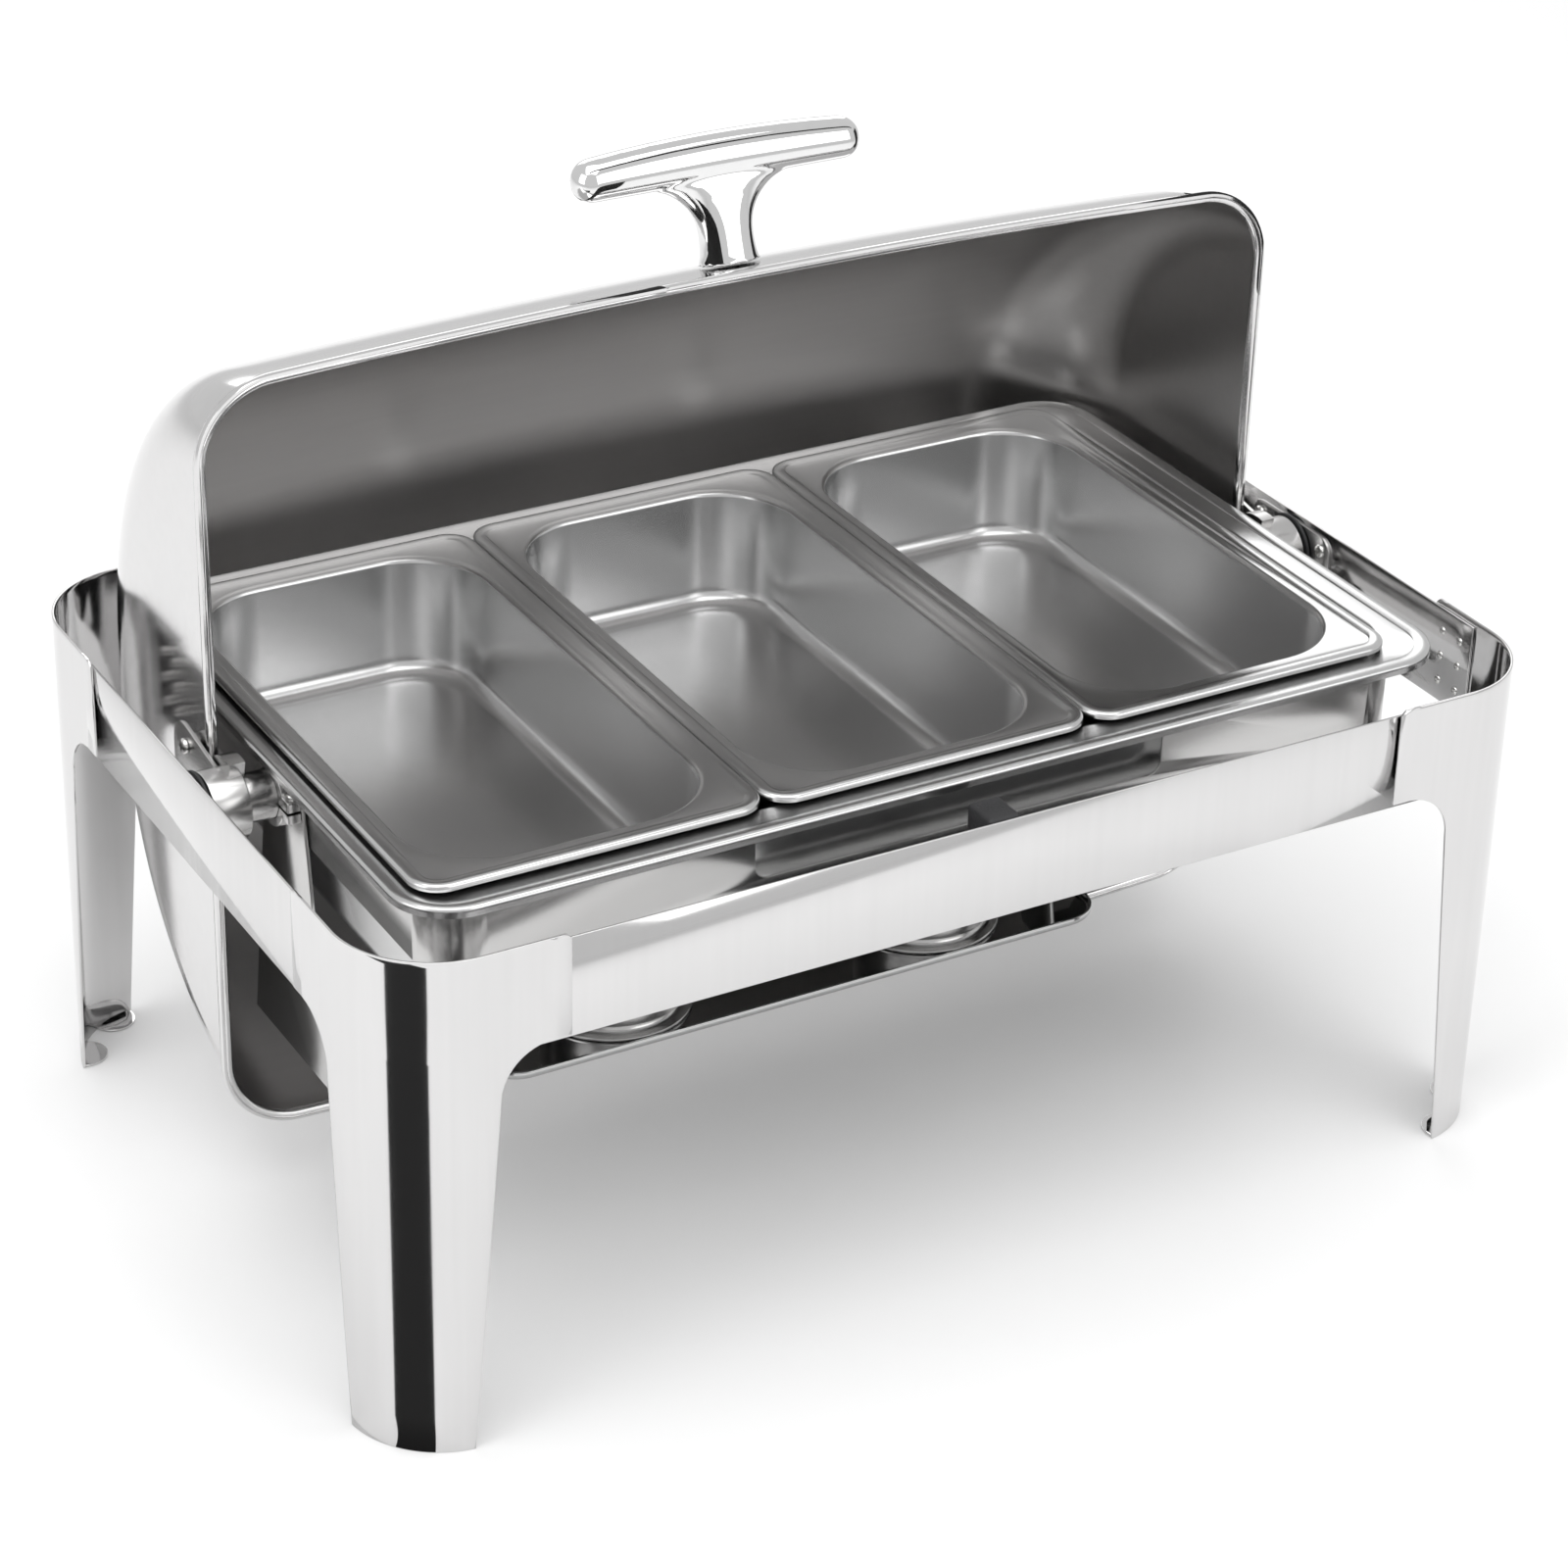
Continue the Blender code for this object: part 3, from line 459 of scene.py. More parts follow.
def leg_point(along, mid):
    """Place on the corner's middle surface, by distance along it from its middle."""
    radius = CORNER_R - mid
    arc = radius * math.pi / 4
    side = 1 if along > 0 else -1
    turn = math.pi / 4 - side * min(abs(along), arc) / radius
    rest = max(0.0, abs(along) - arc)
    x = STAND_X - CORNER_R + radius * math.cos(turn) - (rest if side < 0 else 0.0)
    y = STAND_Y - CORNER_R + radius * math.sin(turn) - (rest if side > 0 else 0.0)
    return x, y


def leg_rows(mid):
    """Rows of points up a leg's middle stretch, all the way round its corner."""
    radius = CORNER_R - mid
    columns = 52
    rows = []
    for reach, z in leg_edge_rows():
        if reach >= CORNER_R:
            limit = radius * math.pi / 4 + reach - CORNER_R
        else:
            limit = radius * (math.acos((CORNER_R - reach) / radius) - math.pi / 4)
        rows.append([(*leg_point(limit * (2 * i / columns - 1), mid), z)
                     for i in range(columns + 1)])
    return rows


def tab_rows(side, mid):
    """Rows of points up the end of one leg tab, beyond the arch."""
    corner = (CORNER_R - mid) * math.pi / 4 - CORNER_R
    rows = []
    for z in tab_heights():
        far = TAB_REACH - (TAB_CHAMFER if z == STAND_TOP else 0.0)
        reaches = (ARCH_REACH, (ARCH_REACH + far) / 2, far)[::side]
        rows.append([(*leg_point(side * (corner + reach), mid), z) for reach in reaches])
    return rows


def make_leg(name, sx, sy):
    """A leg bent round its corner, with an arch cut from each face and two foot tabs."""
    mid = SHEET / 2
    bm = bmesh.new()
    for rows in (leg_rows(mid), tab_rows(-1, mid), tab_rows(1, mid)):
        fill_grid(bm, [[(sx * x, sy * y, z) for x, y, z in row] for row in rows])
    leg = link(name + "_sheet", to_mesh(bm, name + "_sheet"), POLISHED)
    thicken(leg, SHEET)
    soften(leg, 0.25)
    bake(leg)
    tabs = []
    along = FOOT_REACH - FOOT_TAB_R
    for i, (dx, dy) in enumerate(((along, FOOT_TAB_IN), (FOOT_TAB_IN, along))):
        tab = prism(f"{name}_tab_{i}", foot_tab_outline(dx, dy, sx, sy), (0, 0, SHEET), POLISHED)
        soften(tab, 0.25)
        tabs.append(bake(tab))
    join(leg, *tabs)
    place(leg, "stand", "polished_sheet", name)


def foot_tab_outline(dx, dy, sx, sy):
    """A disc under the leg's foot, kept inside the corner's middle surface."""
    mid = SHEET / 2
    radius = CORNER_R - mid
    centre = Vector((STAND_X - CORNER_R, STAND_Y - CORNER_R))
    steps = 48
    points = []
    for i in range(steps):
        angle = 2 * math.pi * i / steps
        p = Vector((STAND_X - dx + FOOT_TAB_R * math.cos(angle),
                    STAND_Y - dy + FOOT_TAB_R * math.sin(angle)))
        away = p - centre
        if away.x > 0 and away.y > 0 and away.length > radius:
            p = centre + away.normalized() * radius
        p.x = min(p.x, STAND_X - mid)
        p.y = min(p.y, STAND_Y - mid)
        if not points or (Vector(points[-1][:2]) - Vector((sx * p.x, sy * p.y))).length > 0.05:
            points.append((sx * p.x, sy * p.y, 0.0))
    return points


def make_stand():
    """Legs with their rivets, and the rails between them."""
    for name, sx, sy in (("leg_front_left", -1, -1), ("leg_front_right", 1, -1),
                         ("leg_back_left", -1, 1), ("leg_back_right", 1, 1)):
        make_leg(name, sx, sy)
        make_rivets(name.replace("leg", "rivets"), sx, sy)
    for side in ("front", "back", "left", "right"):
        low, high = node_box("rail_" + side)
        rail = block(f"rail_{side}_sheet", low, high, POLISHED)
        soften(rail, 0.25)
        place(bake(rail), "stand", "polished_sheet", "rail_" + side)


def make_rivets(name, sx, sy):
    """Rivet heads inside a side rail where the leg tab laps it."""
    dome = [(0.0, 1.3), (1.1, 1.1), (1.9, 0.6), (2.3, 0.0), (2.3, -0.4), (0.0, -0.4)]
    inner = 2 * SHEET + GAP
    heads = []
    for row in (0, 1, 2):
        z = RIVET_TOP - RIVET_PITCH * row
        for reach in RIVET_REACHES:
            at_x = (sx * (STAND_X - inner), sy * (STAND_Y - reach), z)
            heads.append(lathe(name + "_x", dome, at_x, (-sx, 0, 0), FASTENER, steps=20))
    rivets = join(*heads)
    rivets.name = name
    place(rivets, "stand", "fastener_steel")


def make_bumper():
    """The lid's rubber bumper and the bent bracket that holds it."""
    low, high = node_box("lid_bumper")
    bumper = block("lid_bumper_block", low, high, BLACK)
    soften(bumper, 1.8, 4)
    place(bake(bumper), "stand", "black_rubber", "lid_bumper")
    low, high = node_box("bumper_bracket")
    mid = SHEET / 2
    bend = 2.5
    steps = 6
    path = [(low.y + mid, low.z)]
    for i in range(steps + 1):
        turn = math.radians(90 * i / steps)
        path.append((low.y + mid + bend - bend * math.cos(turn),
                     high.z - mid - bend + bend * math.sin(turn)))
    path.append((high.y, high.z - mid))
    rows = [[(x, y, z) for y, z in path] for x in (low.x, high.x)]
    bracket = grid_object("bumper_angle", rows, SATIN)
    thicken(bracket, SHEET)
    soften(bracket, 0.2)
    place(bake(bracket), "stand", "satin_sheet", "bumper_bracket")


# ---------------------------------------------------------------- lid

def lid_section(angle):
    """A section of the lid from the left hub over the barrel to the right hub.

    Each point comes with its direction outward along the section's plane."""
    radius = LID_R - LID_SHEET / 2
    half = LID_X - LID_SHEET / 2
    depth = -LID_RIM_Y * math.cos(angle)
    reach = depth + math.sqrt(radius ** 2 - (LID_RIM_Y * math.sin(angle)) ** 2)
    fillet = BACK_FILLET - (BACK_FILLET - MOUTH_FILLET) * math.sin(angle) ** 2
    profile = [(half, 0.0, 1.0, 0.0)]
    profile += [(half, (reach - fillet) * t, 1.0, 0.0) for t in (0.25, 0.5, 0.75)]
    steps = 18
    for i in range(steps + 1):
        turn = math.radians(90 * i / steps)
        profile.append((half - fillet + fillet * math.cos(turn),
                        reach - fillet + fillet * math.sin(turn), math.cos(turn),
                        math.sin(turn)))
    spans = 20
    top = half - fillet
    across = [(top * (2 * i / spans - 1), reach, 0.0, 1.0) for i in range(1, spans)]
    left = [(-x, out, -dx, dout) for x, out, dx, dout in profile]
    whole = left + across + list(reversed(profile))
    points = []
    for x, out, dx, dout in whole:
        out *= 1 + LID_CROWN * (1 - (x / half) ** 2) / reach
        spot = Vector((x, LID_RIM_Y + out * math.cos(angle), AXIS_Z + out * math.sin(angle)))
        outward = Vector((dx, dout * math.cos(angle), dout * math.sin(angle)))
        points.append((spot, outward))
    return points


def make_lid_shell():
    """Barrel and end walls, with a grooved bead rolled outward round the mouth."""
    steps = 80
    rows = [[spot for spot, _ in lid_section(math.radians(-90 + 180 * i / steps))]
            for i in range(steps + 1)]
    bead = [(0.0, -1.8), (0.4, -2.55), (1.1, -2.9), (2.0, -3.0), (2.45, -2.45),
            (2.95, -2.45), (3.4, -3.0), (4.1, -2.95), (4.4, -2.3), (4.5, -1.4), (4.3, -0.3),
            (3.6, 0.3)]
    bm = bmesh.new()
    fill_grid(bm, rows)
    for angle in (-math.pi / 2, math.pi / 2):
        section = lid_section(angle)
        edge = [[spot for spot, _ in section]]
        for out, back in bead:
            edge.append([spot + outward * out + Vector((0, back, 0))
                         for spot, outward in section])
        fill_grid(bm, edge, index=2)
    bmesh.ops.remove_doubles(bm, verts=bm.verts, dist=0.001)
    bmesh.ops.dissolve_degenerate(bm, edges=bm.edges, dist=0.001)
    # The inside face takes the darker inner steel, whose tint is partly painted shade.
    shell = link("lid_shell_sheet", to_mesh(bm, "lid_shell_sheet"), LID_OUT, LID_IN_SHADED, LID_OUT,
                 LID_OUT)
    orient_outward(shell)
    thicken(shell, LID_SHEET, 1)
    bake(shell, 50.0)
    place(shell, "lid", "lid_sheet", "lid_shell")


def orient_outward(obj):
    """Turn an open shell's normals away from the lid's inside."""
    inside = Vector((0, 100, AXIS_Z)) * MM
    total = sum((p.center - inside).dot(p.normal) * p.area for p in obj.data.polygons)
    if total < 0:
        obj.data.flip_normals()


def oval_ring(centre, across, along, half_a, half_b, power):
    """A ring of points round a superellipse."""
    steps = 48
    ring = []
    for i in range(steps):
        angle = 2 * math.pi * i / steps
        c, s = math.cos(angle), math.sin(angle)
        ring.append(centre + across * (half_a * math.copysign(abs(c) ** (2 / power), c))
                    + along * (half_b * math.copysign(abs(s) ** (2 / power), s)))
    return ring


def smooth_values(keys, steps):
    """Values between key tuples by a Catmull-Rom curve."""
    out = []
    for k in range(len(keys) - 1):
        quad = [keys[max(k - 1, 0)], keys[k], keys[k + 1], keys[min(k + 2, len(keys) - 1)]]
        for i in range(steps):
            t = i / steps
            out.append(tuple(0.5 * (2 * b + (c - a) * t + (2 * a - 5 * b + 4 * c - d) * t * t
                                    + (3 * b - a - 3 * c + d) * t ** 3)
                             for a, b, c, d in zip(*quad)))
    out.append(tuple(keys[-1]))
    return out


STEM_KEYS = ((0.0, 16.5, 12.0), (2.5, 15.3, 11.2), (7.0, 14.6, 10.4), (13.0, 14.3, 9.8),
             (19.0, 14.8, 9.5), (24.0, 16.3, 9.2), (29.0, 19.1, 9.1), (33.0, 22.8, 9.0),
             (36.0, 26.6, 9.0), (38.3, 30.8, 8.9), (40.2, 36.0, 8.8), (44.5, 46.0, 8.0))


def grip_rings(hub, out, side):
    """Rings along the grip, with its crowned back and rounded ends."""
    along = Vector((1, 0, 0))
    count = 60
    rings = []
    for i in range(count + 1):
        u = -math.cos(math.pi * i / count)
        past = max(0.0, (abs(u) - GRIP_STRAIGHT) / (1 - GRIP_STRAIGHT))
        swell = max(math.sqrt(max(0.0, 1 - past ** 2)), 0.05)
        crown = GRIP_CROWN / 2 * (1 - u * u)
        centre = hub + out * (HANDLE_R + crown) + along * (GRIP_HALF * u)
        rings.append(oval_ring(centre, side, out, GRIP_THICK * swell,
                               (GRIP_THICK + crown) * swell, 2.3))
    return rings


def stem_rings(hub, out, side):
    """Rings up the stem: each key is a height with the half widths there."""
    along = Vector((1, 0, 0))
    foot_r = LID_R + LID_CROWN + GAP + 0.4
    return [oval_ring(hub + out * (foot_r + rise), along, side, half_x, half_y, 2.2)
            for rise, half_x, half_y in smooth_values(STEM_KEYS, 4)]


def make_handle():
    """A cast T: an oval grip on a stem that flares smoothly into it and into its foot."""
    tilt = math.radians(HANDLE_ANGLE)
    out = Vector((0, math.cos(tilt), math.sin(tilt)))
    side = Vector((0, -math.sin(tilt), math.cos(tilt)))
    hub = Vector((0, 0, AXIS_Z))
    bm = bmesh.new()
    for rings in (grip_rings(hub, out, side), stem_rings(hub, out, side)):
        fill_grid(bm, rings, closed=True, cap_first=True, cap_last=True)
    handle = link("lid_handle_casting", to_mesh(bm, "lid_handle_casting"), CHROME)
    remesh = handle.modifiers.new("weld", "REMESH")
    remesh.mode = "VOXEL"
    remesh.voxel_size = 0.9 * MM
    remesh.use_smooth_shade = True
    relax = handle.modifiers.new("relax", "SMOOTH")
    relax.factor = 0.5
    relax.iterations = 14
    bake(handle, 60.0)
    place(handle, "lid", "handle_chrome", "lid_handle")


def make_screw(node, body, direction, recess=True):
    """A pan-head screw in place of its CAD node, its top towards direction."""
    low, high = node_box(node)
    middle = (low + high) / 2
    size = high - low
    way = Vector(direction).normalized()
    tall = min(max(1.6, abs(size.dot(Vector([abs(c) for c in way])))), 3.5)
    wide = sorted(size)[1] / 2
    base = middle - way * tall / 2
    profile = [(0.0, 0.0), (wide, 0.0), (wide, tall * 0.35), (wide * 0.94, tall * 0.62),
               (wide * 0.78, tall * 0.85), (wide * 0.5, tall * 0.97), (0.0, tall)]
    head = lathe(node + "_head", profile, base, way, FASTENER, steps=32)
    if recess:
        turn = Vector((0, 0, 1)).rotation_difference(way).to_matrix()
        long, short = wide * 0.62, wide * 0.13
        for a, b in ((long, short), (short, long)):
            corners = [(-a, -b), (a, -b), (a, b), (-a, b)]
            outline = [base + turn @ Vector((x, y, tall * 0.45)) for x, y in corners]
            cut(head, prism("recess", outline, way * tall))
    place(head, body, "fastener_steel", node)


# ---------------------------------------------------------------- hinge

def axle_hole(x, sx, length):
    """Cutter for the axle's hole, from x outwards."""
    radius = AXLE_R + GAP
    return lathe("bore", [(0, 0), (radius, 0), (radius, length), (0, length)],
                 (x, 0, AXIS_Z), (sx, 0, 0), steps=96)


def knuckle_flange(sx):
    """Plate from round the knuckle's barrel to behind the lid's mouth."""
    points = []
    inner = (KNUCKLE_R + AXLE_R) / 2
    for i in range(25):
        angle = math.radians(90 + 180 * i / 24)
        points.append((inner * math.cos(angle), AXIS_Z + inner * math.sin(angle)))
    for start, sz in ((270, -1), (0, 1)):
        for i in range(13):
            angle = math.radians(start + 90 * i / 12)
            points.append((FLANGE_BACK - FLANGE_CORNER + FLANGE_CORNER * math.cos(angle),
                           AXIS_Z + sz * (FLANGE_HALF - FLANGE_CORNER)
                           + FLANGE_CORNER * math.sin(angle)))
    flange = prism("knuckle_flange", [(sx * FLANGE_X, y, z) for y, z in points],
                   (sx * FLANGE_T, 0, 0), POLISHED)
    soften(flange, 0.4)
    return bake(flange)


def stop_slot(sx):
    """Cutter for the slot that the stop pin runs in."""
    first, last = SLOT_ANGLES
    inner, outer = SLOT_RADII
    steps = 12
    outline = []
    for radius, order in ((outer, range(steps + 1)), (inner, range(steps, -1, -1))):
        for i in order:
            angle = math.radians(first + (last - first) * i / steps)
            outline.append((sx * (KNUCKLE_IN - 2), radius * math.cos(angle),
                            AXIS_Z + radius * math.sin(angle)))
    return prism("slot", outline, (sx * SLOT_DEPTH, 0, 0))


def make_knuckle(tag, sx):
    """The lid's knuckle: a barrel on the axle, a flange, two bosses and their screws."""
    knuckle = rounded_lathe(f"hinge_knuckle_{tag}_barrel", KNUCKLE_R, KNUCKLE_OUT - KNUCKLE_IN,
                            0.8, (sx * KNUCKLE_IN, 0, AXIS_Z), (sx, 0, 0), SATIN, steps=96)
    cut(knuckle, knuckle_flange(sx), "UNION")
    for rise in (-BOSS_RISE, BOSS_RISE):
        boss = lathe("boss", [(0, 0), (BOSS_R, 0), (BOSS_R, BOSS_LENGTH), (0, BOSS_LENGTH)],
                     (sx * (LID_X + GAP), BOSS_Y, AXIS_Z + rise), (sx, 0, 0), steps=32)
        cut(knuckle, boss, "UNION")
    cut(knuckle, axle_hole(sx * (KNUCKLE_IN - 8), sx, 40))
    cut(knuckle, stop_slot(sx))
    place(knuckle, "lid", "polished_sheet", f"hinge_knuckle_{tag}")
    for level in ("low", "high"):
        make_screw(f"knuckle_screw_{tag}_{level}", "lid", (sx, 0, 0))


def make_hinge_plate(tag, sx):
    """Rounded plate inside the side rail, with its four screws."""
    low, high = node_box(f"hinge_plate_{tag}")
    centre = ((low.y + high.y) / 2, (low.z + high.z) / 2)
    outline = rounded_rect((high.y - low.y) / 2, (high.z - low.z) / 2, PLATE_CORNER, 12, centre)
    plate = prism(f"hinge_plate_{tag}_sheet", [(low.x, y, z) for y, z in outline],
                  (high.x - low.x, 0, 0), SATIN)
    soften(plate, 0.3)
    place(bake(plate), "stand", "satin_sheet", f"hinge_plate_{tag}")
    for end in ("front_low", "front_high", "back_low", "back_high"):
        make_screw(f"hinge_screw_{tag}_{end}", "stand", (-sx, 0, 0))


def make_hinge(tag, sx):
    """One side's hinge: knuckle, plate, axle, washer, stop pin and bracket."""
    make_knuckle(tag, sx)
    make_hinge_plate(tag, sx)
    low, high = node_box(f"axle_{tag}")
    start = low.x if sx > 0 else high.x
    axle = rounded_lathe(f"axle_{tag}_tube", AXLE_R, high.x - low.x, 0.5,
                         (start, 0, AXIS_Z), (sx, 0, 0), SATIN, bore=AXLE_BORE_R, steps=96)
    place(axle, "stand", "satin_sheet", f"axle_{tag}")
    low, high = node_box(f"friction_washer_{tag}")
    start = low.x if sx > 0 else high.x
    washer = rounded_lathe(f"friction_washer_{tag}_ring", (high.z - low.z) / 2, high.x - low.x,
                           0.35, (start, 0, AXIS_Z), (sx, 0, 0), BLACK, bore=AXLE_R + GAP,
                           steps=96)
    place(washer, "stand", "black_rubber", f"friction_washer_{tag}")
    low, high = node_box(f"stop_pin_{tag}")
    pin = rounded_lathe(f"stop_pin_{tag}_stud", (high.x - low.x) / 2, high.z - low.z, 0.5,
                        ((high.x + low.x) / 2, 0, low.z), (0, 0, 1), FASTENER, steps=24)
    place(pin, "stand", "fastener_steel", f"stop_pin_{tag}")
    make_bracket(tag, sx)


def make_bracket(tag, sx):
    """Hanger plate, split collar and its clamp screw."""
    low, high = node_box(f"hanger_plate_{tag}")
    outline = [(HANGER_HALF, high.z), (-HANGER_HALF, high.z), (low.y, low.z),
               (high.y, low.z)]
    hanger = prism(f"hanger_plate_{tag}_sheet", [(low.x, y, z) for y, z in outline],
                   (high.x - low.x, 0, 0), SATIN)
    soften(hanger, 0.35)
    place(bake(hanger), "stand", "satin_sheet", f"hanger_plate_{tag}")
    low, high = node_box(f"axle_bracket_{tag}")
    start = low.x if sx > 0 else high.x
    collar = rounded_lathe(f"axle_bracket_{tag}_collar", COLLAR_R, high.x - low.x, 0.5,
                           (start, 0, AXIS_Z), (sx, 0, 0), SATIN, steps=72)
    ears = block("ears", (low.x, low.y, AXIS_Z - 7), (high.x, -12, AXIS_Z + 5))
    soften(ears, 0.8)
    cut(collar, bake(ears), "UNION")
    cut(collar, axle_hole(start - sx * 6, sx, 20))
    cut(collar, block("split", (low.x - 3, -30, AXIS_Z - 1.8), (high.x + 3, -8, AXIS_Z - 0.2)))
    place(collar, "stand", "satin_sheet", f"axle_bracket_{tag}")
    make_screw(f"bracket_screw_{tag}", "stand", (0, 0, 1))


# ---------------------------------------------------------------- pans

LIP_PROFILE = ((0.0, -2.6), (0.0, -1.7), (0.35, -0.95), (1.1, -0.5), (2.2, -0.4))


def pan_rows(outer, wall, floor, lip_z, drop, depth, lip_r, wall_r, groove):
    """Rings of a drawn pan: rolled lip, grooved flange, tapered wall, rounded floor."""
    ox, oy = outer
    wx, wy = wall
    fx, fy = floor
    rings = [(ox - o, oy - o, lip_r - o, lip_z + z) for o, z in ((0.0, -drop), *LIP_PROFILE)]
    for offset, z in groove:
        rings.append((ox - offset, oy - offset, max(lip_r - offset, 4.0), lip_z + z))
    flange_z = rings[-1][3]
    edge = 3.2
    for i in range(7):
        turn = math.radians(90 * i / 6)
        grow = edge * (1 - math.sin(turn))
        rings.append((wx + grow, wy + grow, wall_r + grow,
                      flange_z - edge * (1 - math.cos(turn))))
    bend = 10.0
    base = lip_z - depth + PAN_SHEET / 2
    for i in range(9):
        turn = math.radians(90 * i / 8)
        inset = bend * (1 - math.cos(turn))
        rings.append((fx + 1.0 - inset, fy + 1.0 - inset, max(wall_r - 3.0 - inset, 5.0),
                      base + bend * (1 - math.sin(turn))))
    for shrink in (0.7, 0.4):
        rings.append((fx * shrink, fy * shrink, 12.0, base))
    return [[(x, y, z) for x, y in rounded_rect(hx, hy, r)] for hx, hy, r, z in rings]


def make_pan(node, rows, shift, body):
    """A pan from its rings, moved along X."""
    moved = [[(x + shift, y, z) for x, y, z in row] for row in rows]
    pan = grid_object(node + "_sheet", moved, PAN, closed=True, cap_last=True)
    thicken(pan, PAN_SHEET)
    bake(pan, 50.0)
    place(pan, body, "pan_sheet", node)


def make_pans():
    """The water pan, and three food pans of one shape."""
    low, high = node_box("water_pan")
    outer = (high.x - PAN_SHEET / 2, high.y - PAN_SHEET / 2)
    groove = ((7.0, -0.4), (7.6, -0.9), (8.2, -1.2))
    rows = pan_rows(outer, WATER_WALL, [w - WALL_TAPER for w in WATER_WALL], high.z, 5.0,
                    high.z - low.z, 30.0, 25.0, groove)
    make_pan("water_pan", rows, 0.0, "water_pan")
    low, high = node_box("food_pan_centre")
    outer = ((high.x - low.x - PAN_SHEET) / 2, (high.y - low.y - PAN_SHEET) / 2)
    groove = ((5.6, -0.4), (6.2, -0.9), (6.8, -1.2))
    rows = pan_rows(outer, FOOD_WALL, [w - WALL_TAPER for w in FOOD_WALL], high.z, 3.3,
                    high.z - low.z, 15.0, 42.0, groove)
    for tag in ("left", "centre", "right"):
        low, high = node_box(f"food_pan_{tag}")
        make_pan(f"food_pan_{tag}", rows, (low.x + high.x) / 2, f"food_pan_{tag}")


def make_band():
    """The collar under the water pan's lip, with a notch in its front."""
    low, high = node_box("pan_support_band")
    mid = SHEET / 2
    ring = rounded_rect(BAND_X - mid, BAND_Y - mid, BAND_R - mid)
    rows = [[(x, y, z) for x, y in ring] for z in (low.z, high.z)]
    band = grid_object("pan_support_band_sheet", rows, SATIN, closed=True)
    thicken(band, SHEET)
    bake(band)
    half = (NOTCH_X[1] - NOTCH_X[0]) / 2
    middle = (NOTCH_X[1] + NOTCH_X[0]) / 2
    rise = 20.0
    notch = rounded_rect(half, rise, NOTCH_CORNER, 8, (middle, NOTCH_Z + rise))
    cutter = prism("notch", [(x, -BAND_Y - 10, z) for x, z in notch], (0, 20, 0))
    cut(band, cutter)
    soften(band, 0.2)
    place(bake(band), "stand", "satin_sheet", "pan_support_band")


# ---------------------------------------------------------------- fuel shelf

def make_shelf():
    """A shallow tray with an upturned edge."""
    low, high = node_box("fuel_shelf")
    middle = (low.y + high.y) / 2
    mid = SHELF_SHEET / 2
    half_x = high.x - mid
    half_y = (high.y - low.y) / 2 - mid
    base = low.z + mid
    bend = 2.0
    rings = [(half_x, half_y, SHELF_CORNER, high.z)]
    for i in range(7):
        turn = math.radians(90 * i / 6)
        inset = bend * (1 - math.cos(turn))
        rings.append((half_x - inset, half_y - inset, SHELF_CORNER - inset,
                      base + bend * (1 - math.sin(turn))))
    rows = [[(x, y + middle, z) for x, y in rounded_rect(hx, hy, r)] for hx, hy, r, z in rings]
    shelf = grid_object("fuel_shelf_tray", rows, SHELF, closed=True, cap_last=True)
    thicken(shelf, SHELF_SHEET)
    soften(shelf, 0.3)
    place(bake(shelf), "stand", "satin_sheet", "fuel_shelf")


def bent_strip(path, bend):
    """A path of (x, z) corners with its bends rounded."""
    steps = 6
    out = [Vector(path[0])]
    for before, corner, after in zip(path, path[1:], path[2:]):
        corner = Vector(corner)
        back = (Vector(before) - corner).normalized() * bend
        ahead = (Vector(after) - corner).normalized() * bend
        for i in range(steps + 1):
            t = i / steps
            out.append(corner + back * (1 - t) ** 2 + ahead * t ** 2)
    out.append(Vector(path[-1]))
    return out


def make_arm(tag, sx):
    """A bent bar that holds one end of the shelf."""
    low, high = node_box(f"shelf_arm_{tag}")
    outer = max(abs(low.x), abs(high.x)) - ARM_HALF
    inner = min(abs(low.x), abs(high.x))
    foot = low.z + ARM_HALF
    path = bent_strip([(outer, high.z), (outer, ARM_Z), (ARM_DROP_X, ARM_Z),
                       (ARM_DROP_X, foot), (inner, foot)], ARM_BEND)
    rows = [[(sx * x, y, z) for x, z in path] for y in (low.y, high.y)]
    arm = grid_object(f"shelf_arm_{tag}_bar", rows, SATIN)
    thicken(arm, 2 * ARM_HALF)
    soften(arm, 0.35)
    place(bake(arm), "stand", "satin_sheet", f"shelf_arm_{tag}")


def cup_profile(tall):
    """Section of a fuel cup with its foot flange and rolled rim, from the outside in."""
    inner = CUP_R - CUP_WALL
    return [(CUP_FLANGE_R - 0.4, 0.0), (CUP_FLANGE_R, 0.4), (CUP_FLANGE_R, 1.1),
            (CUP_FLANGE_R - 0.4, 1.5), (CUP_R + 3.4, 1.6), (CUP_R + 1.6, 2.1),
            (CUP_R + 0.5, 3.2), (CUP_R, 5.2), (CUP_R, tall - 3.0), (CUP_R + 0.4, tall - 1.9),
            (CUP_R + 1.4, tall - 1.0), (CUP_R + 2.0, tall - 0.5), (CUP_R + 1.4, tall),
            (CUP_R - 0.2, tall), (inner, tall - 0.8), (inner, 6.5), (CUP_R - 1.8, 4.2),
            (CUP_R - 3.4, 3.0), (CUP_R - 5.5, 2.5), (0.0, 2.5), (0.0, 0.0)]


def damper_outline(x, y, reach):
    """A disc with a rounded tab to one side."""
    gap = math.asin(DAMPER_TAB_R / DAMPER_R)
    turns = [gap + (2 * math.pi - 2 * gap) * i / 80 for i in range(81)]
    disc = [(x + DAMPER_R * math.cos(a), y + DAMPER_R * math.sin(a)) for a in turns]
    turns = [math.radians(-90 + 180 * i / 16) for i in range(17)]
    return disc + [(x + reach + DAMPER_TAB_R * math.cos(a), y + DAMPER_TAB_R * math.sin(a))
                   for a in turns]


